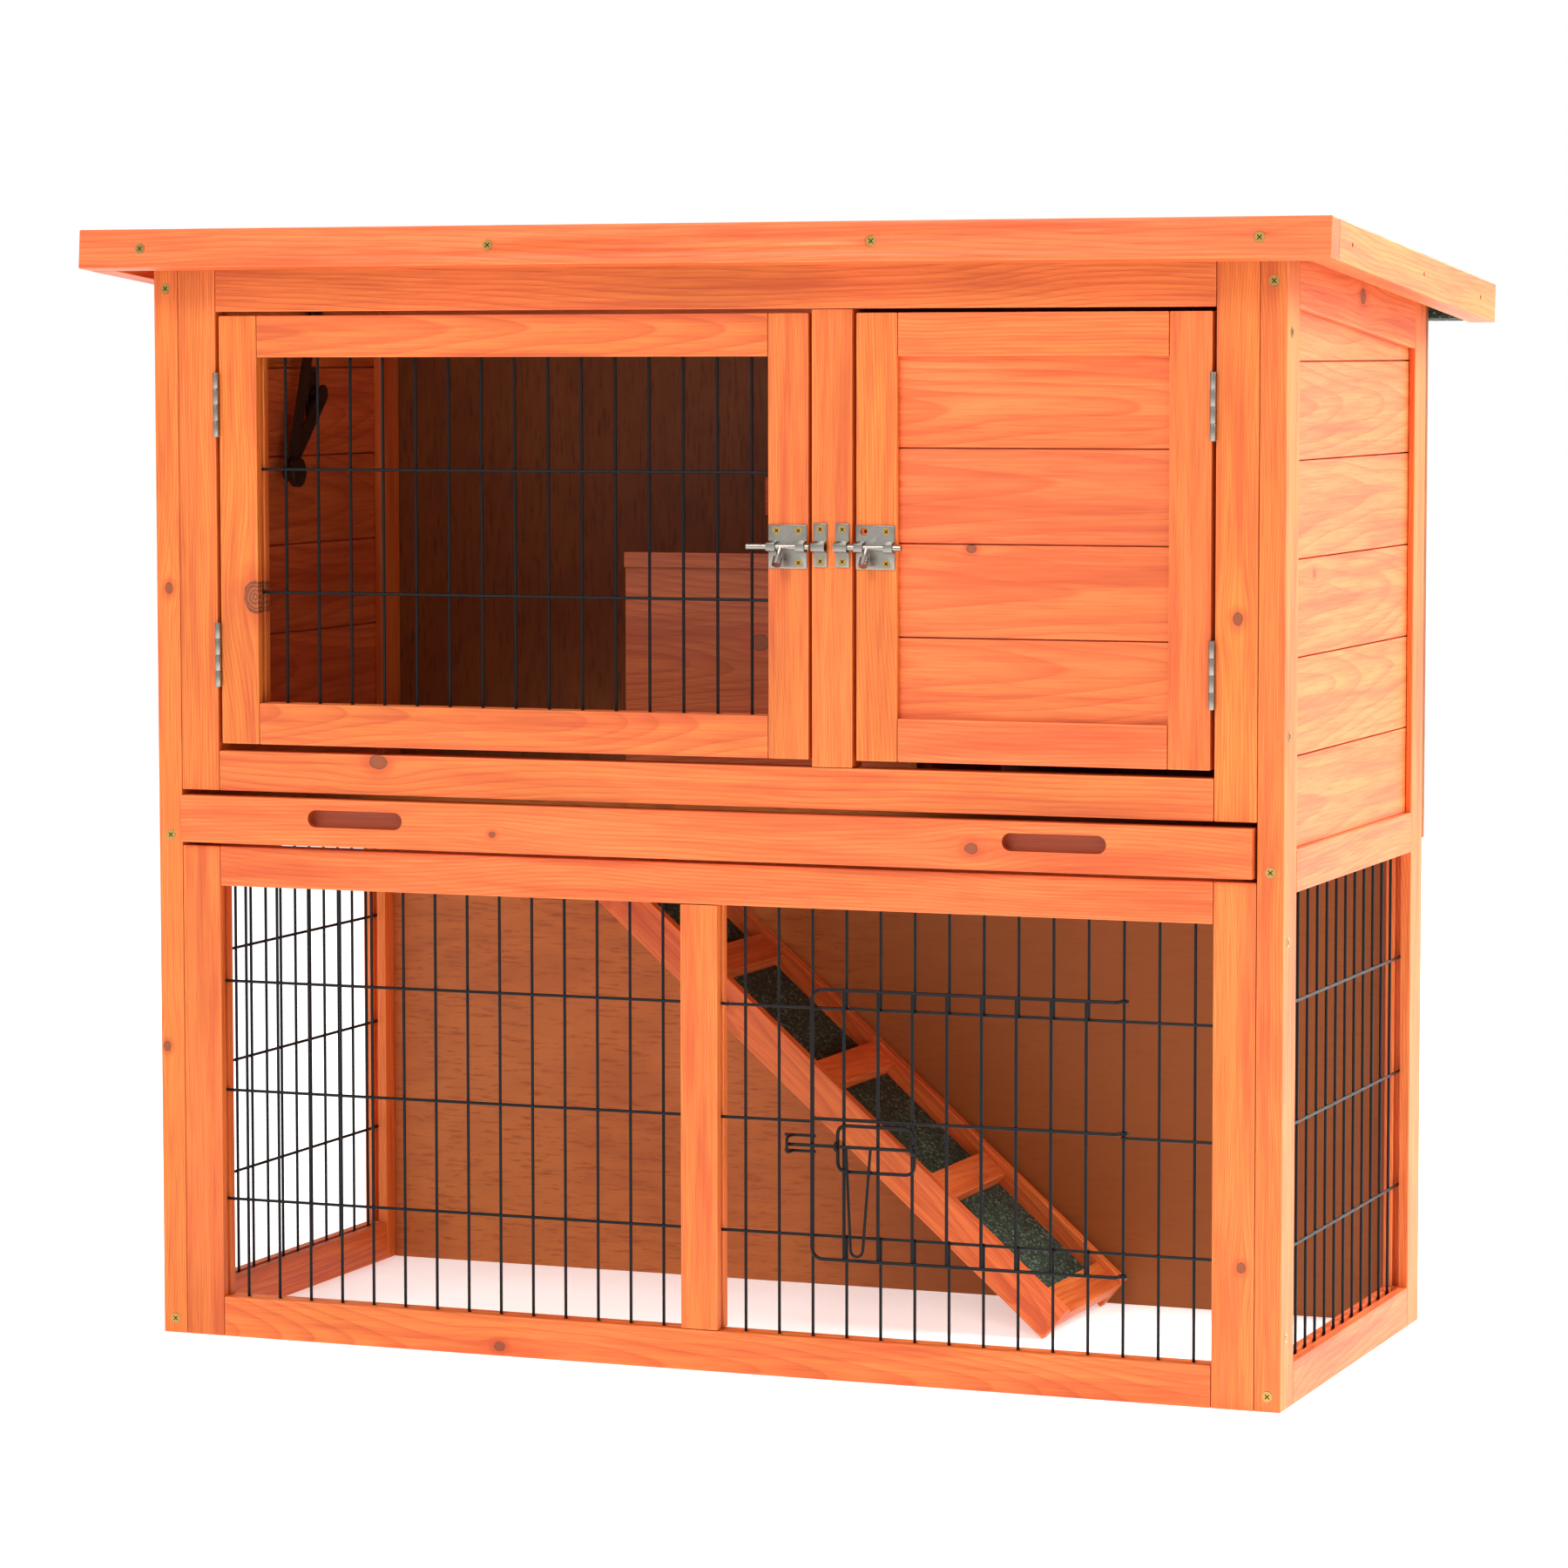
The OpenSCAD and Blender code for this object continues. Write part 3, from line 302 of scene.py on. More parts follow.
def fir_material():
    """Stained softwood. Attributes: grain is the place in the board (along, across, through),
    board is (pinkness, lightness, seed), knot and knot2 are (along, across, radius), look is
    (end grain, edge, ring spacing in millimetres). End grain is 1 on end faces and 2 on the
    faces inside the tray's finger slots, where it paints shade."""
    g = Graph("stained_fir")
    u, v, w = g.attribute("grain")
    pink, light, seed = g.attribute("board")
    end, edge, spacing = g.attribute("look")
    across = v
    knots = []
    for name in ("knot", "knot2"):
        ratio, pull, there = knot(g, name, (u, v, w), seed)
        across = g.minus(across, pull)
        knots.append((ratio, there))
    late = late_wood(g, u, (v, across), w, seed, spacing)
    strand = g.vector(g.times(u, 22), g.times(across, 620), g.times(w, 620))
    fibre = g.noise(strand, detail=4, rough=0.6, w=seed)
    band = g.vector(g.times(u, 5), g.times(across, 95), g.times(w, 95))
    streak = g.noise(band, detail=3, rough=0.55, w=seed)
    blotch = g.noise(g.vector(g.times(u, 6), g.times(v, 15), w), detail=3, w=seed)
    hue = g.plus(pink, g.times(g.minus(blotch, 0.5), 1.3), clamp=True)
    colour = g.mix(hue, FIR_YELLOW, FIR_ROSE)
    colour = g.mix(g.times(late, 0.68), colour, LATE_WOOD)
    colour = g.mix(g.ramp(streak, 0.42, 0.72, to_high=0.75), colour, STREAK_DARK)
    colour = g.mix(g.ramp(streak, 0.46, 0.2, to_high=0.22), colour, STREAK_PALE)
    colour = g.mix(g.ramp(fibre, 0.4, 0.72, to_high=0.48), colour, FIBRE_DARK)
    colour = g.mix(g.ramp(fibre, 0.42, 0.2, to_high=0.22), colour, FIBRE_PALE)
    colour = g.shaded(colour, g.times(light, g.times_plus(blotch, 0.5, 0.69)))
    for ratio, there in knots:
        halo = g.times(g.ramp(ratio, 2.6, 0.9, to_high=0.55), there)
        core = g.times(g.ramp(ratio, 1.0, 0.82), there)
        ring = g.times_plus(g.math("SINE", g.times(ratio, 26.0)), 0.5, 0.5)
        rim = g.ramp(g.math("ABSOLUTE", g.minus(ratio, 0.9)), 0.16, 0.02)
        heart = g.mix(rim, g.mix(ring, KNOT_DARK, KNOT_LIGHT), KNOT_RIM)
        colour = g.mix(core, g.mix(halo, colour, KNOT_HALO), heart)
    # End faces take the darker end-grain colour; inside the finger slots (end = 2) it is painted shade
    colour = g.mix(g.times(end, 0.45, clamp=True), colour, END_GRAIN_AND_SLOT_SHADE)
    # Rounded edges turn a little paler: partly rubbed stain, partly a painted highlight
    colour = g.mix(g.times(edge, 0.1), colour, EDGE_WEAR_AND_HIGHLIGHT)
    g.bump(g.plus(g.times(late, 0.5), g.times(fibre, 0.7)), distance=0.00025, strength=0.55)
    g.bsdf.inputs["Coat Weight"].default_value = 0.06
    g.bsdf.inputs["Coat Roughness"].default_value = 0.35
    return g.finish(colour, g.times_plus(fibre, 0.22, 0.42))


PLY_PALE_LAYER, PLY_DARK_LAYER = rgb(226, 160, 104), rgb(150, 84, 44)
PLY_GOLDEN = rgb(152, 80, 8)
PLY_LAYERS = 500.0  # pairs of layers in a metre of thickness
TURN = 6.2832


def ply_material(name, base, dark, pale, golden=0.0):
    """Rotary-cut veneer, stained: wide wandering figure, fine pores and cloudy stain. Golden is
    how far the colour turns darker and browner towards the panel's far end."""
    g = Graph(name)
    u, v, w = g.attribute("grain")
    _, light, seed = g.attribute("board")
    end, _, _ = g.attribute("look")
    drift = g.vector(g.times(u, 3.0), g.times(v, 7.5), w)
    wander = g.noise(drift, detail=3, rough=0.55, w=seed)
    line = g.plus(g.times(v, 28.0), g.times(wander, 13.0))
    band = g.times_plus(g.math("SINE", g.times(line, TURN)), 0.5, 0.5)
    fine = g.vector(g.times(u, 60), g.times(v, 520), g.times(w, 520))
    pore = g.noise(fine, detail=3, rough=0.6, w=seed)
    cloud = g.noise(g.vector(u, v, w), scale=9, detail=4, rough=0.6, w=seed)
    colour = g.mix(g.times(band, 0.28), base, dark)
    colour = g.mix(g.ramp(cloud, 0.35, 0.7, to_high=0.6), colour, pale)
    colour = g.mix(g.ramp(pore, 0.5, 0.7, to_high=0.75), colour, dark)
    layer = g.math("FRACT", g.times(w, PLY_LAYERS))
    ply = g.mix(g.above(layer, 0.5), PLY_PALE_LAYER, PLY_DARK_LAYER)
    colour = g.mix(g.times(end, 0.8), colour, ply)
    if golden:
        turned = g.ramp(g.times_plus(cloud, 0.15, u), -0.04, 0.14, to_high=golden)
        colour = g.mix(turned, colour, PLY_GOLDEN)
    colour = g.shaded(colour, light)
    g.bump(g.plus(g.times(band, 0.3), pore), distance=0.0002, strength=0.5)
    return g.finish(colour, g.times_plus(pore, 0.2, 0.5))


def felt_material():
    """Mineral felt: packed green granules over a dark base."""
    g = Graph("mineral_felt")
    place = g.place()
    grain = g.node("ShaderNodeTexVoronoi")
    g.put(grain.inputs["Vector"], place)
    grain.inputs["Scale"].default_value = 620
    cells = g.node("ShaderNodeSeparateColor")
    g.put(cells.inputs[0], grain.outputs["Color"])
    tone, pale, dull = cells.outputs[:3]
    patch = g.noise(place, scale=45, detail=3)
    colour = g.mix(g.ramp(tone, 0.2, 0.95), rgb(14, 24, 17), rgb(52, 84, 62))
    colour = g.mix(g.above(pale, 0.9), colour, rgb(112, 140, 116))
    colour = g.mix(g.ramp(patch, 0.35, 0.7, to_high=0.45), colour, rgb(20, 36, 26))
    g.bump(g.minus(1.0, grain.outputs["Distance"]), distance=0.0008, strength=0.9)
    return g.finish(colour, g.times_plus(dull, 0.2, 0.72))


def metal_material(name, colour, dark, rough, metal=1.0, scratch=420, spots=0.25, gloss=0.5):
    """Plated or coated metal with faint brushing, dull patches and fine scratches."""
    g = Graph(name)
    place = g.place()
    patch = g.noise(place, scale=70, detail=3, rough=0.6)
    brush = g.noise(g.stretch(place, (60, 60, 900)), detail=3, rough=0.6)
    fine = g.noise(place, scale=scratch, detail=4, rough=0.7)
    tint = g.mix(g.ramp(patch, 0.4, 0.75, to_high=spots), colour, dark)
    tint = g.mix(g.ramp(fine, 0.55, 0.8, to_high=spots), tint, dark)
    g.bump(g.plus(brush, fine), distance=0.00004, strength=0.5)
    shine = g.plus(g.times(patch, 0.16), g.times_plus(brush, 0.12, rough - 0.12))
    return g.finish(tint, shine, metal, gloss)


FIR = fir_material()
PLY_STAIN = rgb(204, 114, 48), rgb(160, 78, 28), rgb(220, 132, 62)
PLY_LOW = ply_material("plywood_lower", *PLY_STAIN)
PLY_BACK = ply_material("plywood_back", *PLY_STAIN, golden=0.85)
# A darker copy of the plywood stain: painted shade for the inside of the upper storey
PLY_UP_SHADED = ply_material("plywood_upper_shaded", rgb(150, 78, 20), rgb(108, 50, 10), rgb(168, 94, 30))
FELT = felt_material()
NICKEL = metal_material("nickel_plate", rgb(158, 154, 146), rgb(92, 88, 80), rough=0.28)
ZINC = metal_material("yellow_zinc", rgb(190, 156, 88), rgb(98, 72, 36), rough=0.32)
WIRE = metal_material("coated_wire", rgb(13, 14, 16), rgb(6, 7, 8), rough=0.36, metal=0.0,
                      scratch=900, spots=0.5, gloss=0.2)
STEEL = metal_material("dark_steel", rgb(66, 48, 36), rgb(30, 20, 14), rough=0.42, metal=0.6)
# A much darker zinc: painted shade for the screws' cross slots and shanks
SCREW_SLOT_SHADE = metal_material("zinc_slot_shade", rgb(48, 40, 20), rgb(24, 20, 10), rough=0.6, metal=0.5)


# ---------- meshes from the CAD nodes ----------

WELD = 2e-6  # corners closer than this are one corner
FLAT = math.radians(0.6)  # faces that meet at less than this are one face


def clean_mesh(node):
    """A CAD node's faces, without the edges that only triangulate them."""
    bm = bmesh.new()
    bm.from_mesh(NODES[node].data)
    bmesh.ops.remove_doubles(bm, verts=bm.verts, dist=WELD)
    bmesh.ops.dissolve_limit(bm, angle_limit=FLAT, verts=bm.verts, edges=bm.edges)
    return bm


def stand_in(name, mesh, node, material):
    """Shows a new mesh in a CAD node's place, on its body."""
    obj = bpy.data.objects.new(name, mesh)
    SCENE.collection.objects.link(obj)
    mesh.materials.append(material)
    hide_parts(node)
    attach(obj, NODES[node]["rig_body"])
    return obj


def middle(group):
    return sum((v.co for v in group), Vector()) / len(group)


def islands(bm):
    """The separate boards of a mesh, as lists of vertices, in the same order each run."""
    for parts in (bm.verts, bm.edges, bm.faces):
        parts.index_update()
    left = set(bm.verts)
    found = []
    for first in bm.verts:
        if first not in left:
            continue
        left.remove(first)
        stack, group = [first], []
        while stack:
            vert = stack.pop()
            group.append(vert)
            for e in vert.link_edges:
                other = e.other_vert(vert)
                if other in left:
                    left.remove(other)
                    stack.append(other)
        found.append(group)
    found.sort(key=lambda g: tuple(round(c, 4) for c in middle(g)))
    return found


def in_order(parts):
    return sorted(parts, key=lambda p: p.index)


# ---------- wooden boards ----------

# Knots: node, place in millimetres from the front frames' face, radius in millimetres
KNOTS = [
    ("tray_front", (-154, -6, 372.5), 2.2),
    ("tray_front", (202, -6, 374), 4.2),
    ("upper_rails", (-245, 0, 421), 5.5),
    ("left_posts", (-410, 0, 542), 3.5),
    ("left_door_stiles", (-341, 0, 537), 9.5),
    ("upper_stiles", (387, 0, 533), 3.8),
    ("lower_rails", (-153, 0, 7), 3.6),
    ("stair_guard", (-28, 192, 500), 6.5),
    ("right_door_slats", (198, 5, 577.5), 3.2),
    ("lower_stiles", (392, 0, 97), 3.2),
    ("left_posts", (-415, 0, 210), 3.0),
    ("right_rails", (420, 195, 748), 6.0),
    ("right_slats", (414, 90, 560), 3.0),
    ("tray_front", (-80, -6, 375), 3.4),
    ("ramp_stringers", (-60, 199, 235), 4.5),
]
KNOT_MARGIN = 0.004  # how far off a board a knot's place may be and still be on it
EASE = 0.0002  # how far each board stands back from its CAD faces, so that seams show
FOOT = 0.001  # below this height a board keeps its ends, so that it stands on the floor
SHARP = 0.7  # edges that turn by more than this, in radians, are rounded


def board_axes(group, along, through):
    """Along the grain, across the widest face, and through the board."""
    faces = in_order({f for v in group for f in v.link_faces})
    face = max(faces, key=lambda f: (round(f.calc_area(), 8), f.normal.x, f.normal.y, f.normal.z))
    through = Vector(through) if through else face.normal.copy()
    if along is None:
        edges = in_order({e for f in faces for e in f.edges})
        longest = max(edges, key=lambda e: round(e.calc_length(), 6))
        along = longest.verts[1].co - longest.verts[0].co
    along = Vector(along)
    along = (along - through * along.dot(through)).normalized()
    if max(along, key=abs) < 0:
        along = -along
    return along, through.cross(along).normalized(), through


# The tray's finger slots, in metres: middle from the centre line, half sizes, depths that they span
FINGER_SLOT_X, FINGER_SLOT_HALF = 0.261, (0.0385, 0.0105)
FINGER_SLOT_DEPTH = (0.0015, 0.012)


def in_finger_slot(p):
    """Whether a face of the tray's board lies inside a finger slot's recess."""
    low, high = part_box("tray_front")
    return (FINGER_SLOT_DEPTH[0] < p.y - low[1] < FINGER_SLOT_DEPTH[1]
            and abs(abs(p.x) - FINGER_SLOT_X) < FINGER_SLOT_HALF[0]
            and abs(p.z - (low[2] + high[2]) / 2) < FINGER_SLOT_HALF[1])


def ease_board(group, along, through):
    """Draws a board in from its CAD faces, and gives its old box and its axes."""
    low = [min(v.co[i] for v in group) for i in range(3)]
    high = [max(v.co[i] for v in group) for i in range(3)]
    axes = board_axes(group, along, through)
    for v in group:
        for i in range(3):
            mid, half = (low[i] + high[i]) / 2, (high[i] - low[i]) / 2
            if i < 2 or v.co.z > FOOT:
                v.co[i] = mid + (v.co[i] - mid) * (1 - EASE / half)
    return low, high, axes


def own_board(boards, mid):
    """The board that a group of vertices belongs to: the box that holds its middle most nearly."""
    def miss(board):
        low, high, _ = board
        return sum((max(low[i] - mid[i], 0, mid[i] - high[i])) ** 2
                   + (((low[i] + high[i]) / 2 - mid[i]) ** 2) * 0.05 for i in range(3))
    return min(boards, key=miss)


def knots_on(node, low, high, centre, along, across):
    """Up to two knots on a board, as places along and across it and radii in metres."""
    here = []
    for name, place, radius in KNOTS:
        p = at(*place)
        if name == node and all(low[i] - KNOT_MARGIN <= p[i] <= high[i] + KNOT_MARGIN for i in range(3)):
            d = p - centre
            here.append((d.dot(along), d.dot(across), radius / 1000))
    return (here + [(0, 0, 0), (0, 0, 0)])[:2]


def wood(node, material, pink=0.6, light=1.0, bevel=0.0009, shortest=0.006, rings=(2.6, 6.0),
         along=None, through=None):
    """Rebuilds a wooden node board by board: eased edges, and each board's own grain and tone.
    On boards inside the hutch, light also holds painted shade.
    """
    rng = random.Random(node)
    bm = clean_mesh(node)
    boards = [ease_board(group, along, through) for group in islands(bm)]
    sharp = [e for e in bm.edges if len(e.link_faces) == 2 and e.is_convex
             and e.calc_face_angle() > SHARP and e.calc_length() > shortest]
    made = bmesh.ops.bevel(bm, geom=sharp, offset=bevel, segments=2, profile=0.6, affect="EDGES",
                           clamp_overlap=True)
    rounded = set(made["faces"])
    layers = {n: bm.verts.layers.float_vector.new(n) for n in ("grain", "board", "knot", "knot2")}
    look = bm.loops.layers.float_vector.new("look")
    for group in islands(bm):
        low, high, (a, c, t) = own_board(boards, middle(group))
        centre = Vector([(a + b) / 2 for a, b in zip(low, high)])
        tone = Vector((pink + rng.uniform(-0.3, 0.3), light * rng.uniform(0.93, 1.07), rng.uniform(0, 40)))
        spacing = rng.uniform(*rings)
        here = knots_on(node, low, high, centre, a, c)
        for v in group:
            d = v.co - centre
            v[layers["grain"]] = (d.dot(a), d.dot(c), d.dot(t))
            v[layers["board"]] = tone
            v[layers["knot"]] = here[0]
            v[layers["knot2"]] = here[1]
        for f in {f for v in group for f in v.link_faces}:
            end = 1.0 if abs(f.normal.dot(a)) > 0.75 and f not in rounded else 0.0
            # Faces inside the tray's finger slots get painted shade: end = 2 gives the end-grain colour
            # nearly in full
            if node == "tray_front" and in_finger_slot(f.calc_center_median()):
                end = 2.0
            for loop in f.loops:
                loop[look] = (end, 1.0 if f in rounded else 0.0, spacing)
    mesh = bpy.data.meshes.new(node + "_boards")
    bm.to_mesh(mesh)
    bm.free()
    stand_in(node + "_wood", mesh, node, material)


STILE = dict(pink=0.22, light=0.97, rings=(1.6, 3.0))
RAIL = dict(pink=0.7, light=1.0)
for node in ("left_posts", "right_posts"):
    wood(node, FIR, through=(0, -1, 0), **STILE)
for node in ("upper_stiles", "lower_stiles", "upper_mullion", "lower_mullion",
             "left_door_stiles", "right_door_stiles"):
    wood(node, FIR, **STILE)
for node in ("left_rails", "right_rails", "upper_rails", "lower_rails", "left_door_rails",
             "right_door_rails", "back_rails", "floor_beams", "roof_front_fascia",
             "roof_side_fascias", "roof_rear_rail"):
    wood(node, FIR, **RAIL)
for node in ("left_slats", "right_slats", "right_door_slats"):
    # The left slats are seen from inside; their lower lightness of 0.84 is painted shade
    wood(node, FIR, pink=0.8, light=0.84 if node == "left_slats" else 1.0, bevel=0.0012,
         shortest=0.03, rings=(6.0, 12.0))
wood("tray_front", FIR, pink=0.85, light=0.98, bevel=0.0007, shortest=0.0008, rings=(2.4, 3.4))
# The stair guard stands inside the hutch; its low lightness of 0.66 is painted shade
wood("stair_guard", FIR, pink=0.85, light=0.66, rings=(4.0, 6.0), along=(1, 0, 0))
wood("ramp_stringers", FIR, pink=0.6, light=0.94)
wood("ramp_cleats", FIR, pink=0.5, light=0.9, bevel=0.0007, along=(0, 1, 0))
# The upper back panel gets painted shade: the darker plywood copy and a lowered lightness
wood("back_upper_panel", PLY_UP_SHADED, light=0.78, bevel=0.0004, along=(0, 0, 1))
wood("back_lower_panel", PLY_BACK, light=0.86, bevel=0.0004, along=(1, 0, 0))
for node in ("tray_pan", "roof_deck", "floor_panels", "nest_divider", "ramp_base"):
    wood(node, PLY_LOW, light=0.95, bevel=0.0004)


# ---------- felt and metal fittings ----------

CREASE = 35  # degrees; faces that meet at less than this are shaded as one
CREASE_ROUNDED = 50  # the same after the edges are rounded


def mark_creases(bm, degrees):
    for e in bm.edges:
        if len(e.link_faces) == 2:
            e.smooth = e.calc_face_angle() < math.radians(degrees)


def soften(node, material, bevel, segments=2):
    """A node's own shape, with its sharp edges eased and its round faces smooth."""
    bm = clean_mesh(node)
    for f in bm.faces:
        f.smooth = True
    mark_creases(bm, CREASE)
    if bevel:
        sharp = [e for e in bm.edges if not e.smooth and e.is_convex and e.calc_length() > bevel * 1.5]
        made = bmesh.ops.bevel(bm, geom=sharp, offset=bevel, segments=segments, profile=0.5,
                               affect="EDGES", clamp_overlap=True)
        for f in made["faces"]:
            f.smooth = True
        mark_creases(bm, CREASE_ROUNDED)
    mesh = bpy.data.meshes.new(node + "_body")
    bm.to_mesh(mesh)
    bm.free()
    return stand_in(node + "_body", mesh, node, material)


soften("roof_felt", FELT, 0.0005)
soften("ramp_felt", FELT, 0.0006)
for node in ("left_bolt_plate", "right_bolt_plate", "bolt_keeps"):
    soften(node, NICKEL, 0.00025)
for node in ("left_bolt", "right_bolt"):
    soften(node, NICKEL, 0.0006, segments=3)
for node in ("frame_hinge_leaves", "left_door_hinge_leaves", "right_door_hinge_leaves",
             "roof_hinge_leaves"):
    soften(node, NICKEL, 0.0001)
soften("hinge_pins", NICKEL, 0.0002)

SCREW_TOP = 0.0003  # the depth below a screw's highest face that still counts as its top


def screws(node):
    """Screws with zinc heads; the cross slots and shanks take a much darker zinc, painted shade."""
    mesh = soften(node, ZINC, 0).data
    mesh.materials.append(SCREW_SLOT_SHADE)
    bm = bmesh.new()
    bm.from_mesh(mesh)
    for group in islands(bm):
        faces = in_order({f for v in group for f in v.link_faces})
        mid = middle(group)
        outward = [f for f in faces if f.normal.y < -0.7 or f.normal.x * mid.x > 0.7 * abs(mid.x)]
        facing = max(outward, key=lambda f: f.calc_area()).normal.copy()
        top = max(f.calc_center_median().dot(facing) for f in faces)
        for f in faces:
            # Faces off the head's top take the darker zinc: painted shade
            if f.normal.dot(facing) < 0.95 or f.calc_center_median().dot(facing) < top - SCREW_TOP:
                f.material_index = 1
    bm.to_mesh(mesh)
    bm.free()


for node in ("body_screws", "roof_screws", "left_door_screws", "right_door_screws"):
    screws(node)
for node in ("stay_wall_bracket", "stay_lower_arm", "stay_upper_arm", "stay_roof_bracket"):
    soften(node, STEEL, 0.0005)


# ---------- wires ----------

def wires(name, node, runs, radius):
    """Round wires through lists of points."""
    curve = bpy.data.curves.new(name, "CURVE")
    curve.dimensions = "3D"
    curve.bevel_depth = radius
    curve.bevel_resolution = 3
    curve.use_fill_caps = True
    for points in runs:
        spline = curve.splines.new("POLY")
        spline.points.add(len(points) - 1)
        for p, co in zip(spline.points, points):
            p.co = (*co, 1)
    ready = bpy.data.objects.new(name + "_curve", curve)
    SCENE.collection.objects.link(ready)
    bpy.context.view_layer.update()
    mesh = bpy.data.meshes.new_from_object(ready)
    mesh.name = name
    bpy.data.objects.remove(ready)
    for p in mesh.polygons:
        p.use_smooth = True
    mesh.materials.clear()
    stand_in(name, mesh, node, WIRE)


def bent(points, radius, steps=5):
    """A path of straight runs with its corners rounded."""
    out = [points[0]]
    for before, here, after in zip(points, points[1:], points[2:]):
        a, b = before - here, after - here
        r = min(radius, a.length * 0.45, b.length * 0.45)
        p, q = here + a.normalized() * r, here + b.normalized() * r
        for k in range(steps + 1):
            t = k / steps
            out.append((1 - t) ** 2 * p + 2 * t * (1 - t) * here + t ** 2 * q)
    out.append(points[-1])
    return out


# Sizes below are in millimetres, as in the hutch's own plan
WIRE_R = 1.1
MESH_IN = 9  # from a frame's face to its grille's horizontal wires
LAYER = 1.8  # from the horizontal wires to the uprights welded behind them
PITCH = 25

SIDE_X = 420
SIDE_MID_Y = 187.5
SIDE_ROWS = (104, 187.5, 271)
SIDE_SPAN, SIDE_TALL = (27, 348), (24, 353)

RUN_SPAN, RUN_TALL = (9, 376), (24, 333)
RUN_UPRIGHTS = [31 + PITCH * k for k in range(14)]
RUN_ROWS = (99.5, 179, 258.5)
GAP = slice(3, 11)  # the uprights that are cut away for the wire door

STAPLE_X, STAPLE_OUT_Y, STAPLE_ROWS = 67, -3.4, (158, 169)
STAPLE_ROOT = (83.5, 61)

LEFT_DOOR_MID = (-368.5 + 82) / 2 + 1
LEFT_DOOR_PITCH = 25.5
LEFT_DOOR_ROWS = (540, 628)
LEFT_DOOR_SPAN, LEFT_DOOR_TALL = (-343.5, 57), (457, 711.5)


def front_grid(uprights, rows, span, height):
    """Uprights and rows of a grille in a front frame."""
    runs = [[(x, MESH_IN + LAYER, height[0]), (x, MESH_IN + LAYER, height[1])] for x in uprights]
    runs += [[(span[0], MESH_IN, z), (span[1], MESH_IN, z)] for z in rows]
    return [placed(r) for r in runs]


def side_grid(side):
    """The grille of one end wall: side is -1 for the left one and 1 for the right one."""
    x = side * (SIDE_X - MESH_IN)
    uprights = [SIDE_MID_Y + PITCH * (k + 0.5) for k in range(-6, 6)]
    runs = [[(x - side * LAYER, y, z) for z in SIDE_TALL] for y in uprights]
    runs += [[(x, y, z) for y in SIDE_SPAN] for z in SIDE_ROWS]
    return [placed(r) for r in runs]


wires("left_mesh_wires", "left_mesh", side_grid(-1), WIRE_R / 1000)
wires("right_mesh_wires", "right_mesh", side_grid(1), WIRE_R / 1000)
wires("lower_left_mesh_wires", "lower_left_mesh",
      front_grid([-x for x in RUN_UPRIGHTS], RUN_ROWS, (-RUN_SPAN[0], -RUN_SPAN[1]), RUN_TALL),
      WIRE_R / 1000)

whole = RUN_UPRIGHTS[:GAP.start] + RUN_UPRIGHTS[GAP.stop:]
gap_left, gap_right = RUN_UPRIGHTS[GAP.start - 1], RUN_UPRIGHTS[GAP.stop]
runs = front_grid(whole, (RUN_ROWS[0], RUN_ROWS[2]), RUN_SPAN, RUN_TALL)
for height in ((RUN_TALL[0], RUN_ROWS[0] + WIRE_R), (RUN_ROWS[2] - WIRE_R, RUN_TALL[1])):
    runs += front_grid(RUN_UPRIGHTS[GAP], (), RUN_SPAN, height)
for span in ((RUN_SPAN[0], gap_left + WIRE_R), (gap_right - WIRE_R, RUN_SPAN[1])):
    runs += front_grid((), (RUN_ROWS[1],), span, RUN_TALL)
runs += [placed([(x, MESH_IN, z) for x in STAPLE_ROOT]) for z in STAPLE_ROWS]
low, high = STAPLE_ROWS
runs.append(bent(placed([(STAPLE_X, MESH_IN + 0.5, low), (STAPLE_X, STAPLE_OUT_Y, low),
                         (STAPLE_X, STAPLE_OUT_Y, high), (STAPLE_X, MESH_IN + 0.5, high)]), 0.003))
wires("lower_right_mesh_wires", "lower_right_mesh", runs, WIRE_R / 1000)
wires("left_door_mesh_wires", "left_door_mesh",
      front_grid([LEFT_DOOR_MID + LEFT_DOOR_PITCH * k for k in range(-7, 8)], LEFT_DOOR_ROWS,
                 LEFT_DOOR_SPAN, LEFT_DOOR_TALL), WIRE_R / 1000)


# ---------- wire door and its latch ----------

RING_STEPS = 28


def ring(centre, radius, normal="z"):
    out = []
    for k in range(RING_STEPS + 1):
        a = math.radians(360 * k / RING_STEPS)
        c, s = radius * math.cos(a), radius * math.sin(a)
        x, y, z = centre
        out.append((x + c, y + s, z) if normal == "z" else (x, y + c, z + s))
    return placed(out)


DOOR_WIRE_R, PULL_WIRE_R = 1.25, 1.0
DOOR_ROWS = (84, 182, 272)
DOOR_FRONT, DOOR_BACK = 3.4, 5.2  # how far back the rows and the uprights lie
DOOR_LEFT, HINGE_X, HINGE_Y = 83, 306, 10.8
LATCH_Y, LATCH_Z = 0.85, 163.5
LATCH_ENDS = (65.7, 163)
LOOP_X, LOOP_Z = (102, 158), (146, 178)
PULL_X, PULL_R, PULL_LOW = 118, 4.5, 92.5
PULL_STEPS = 12

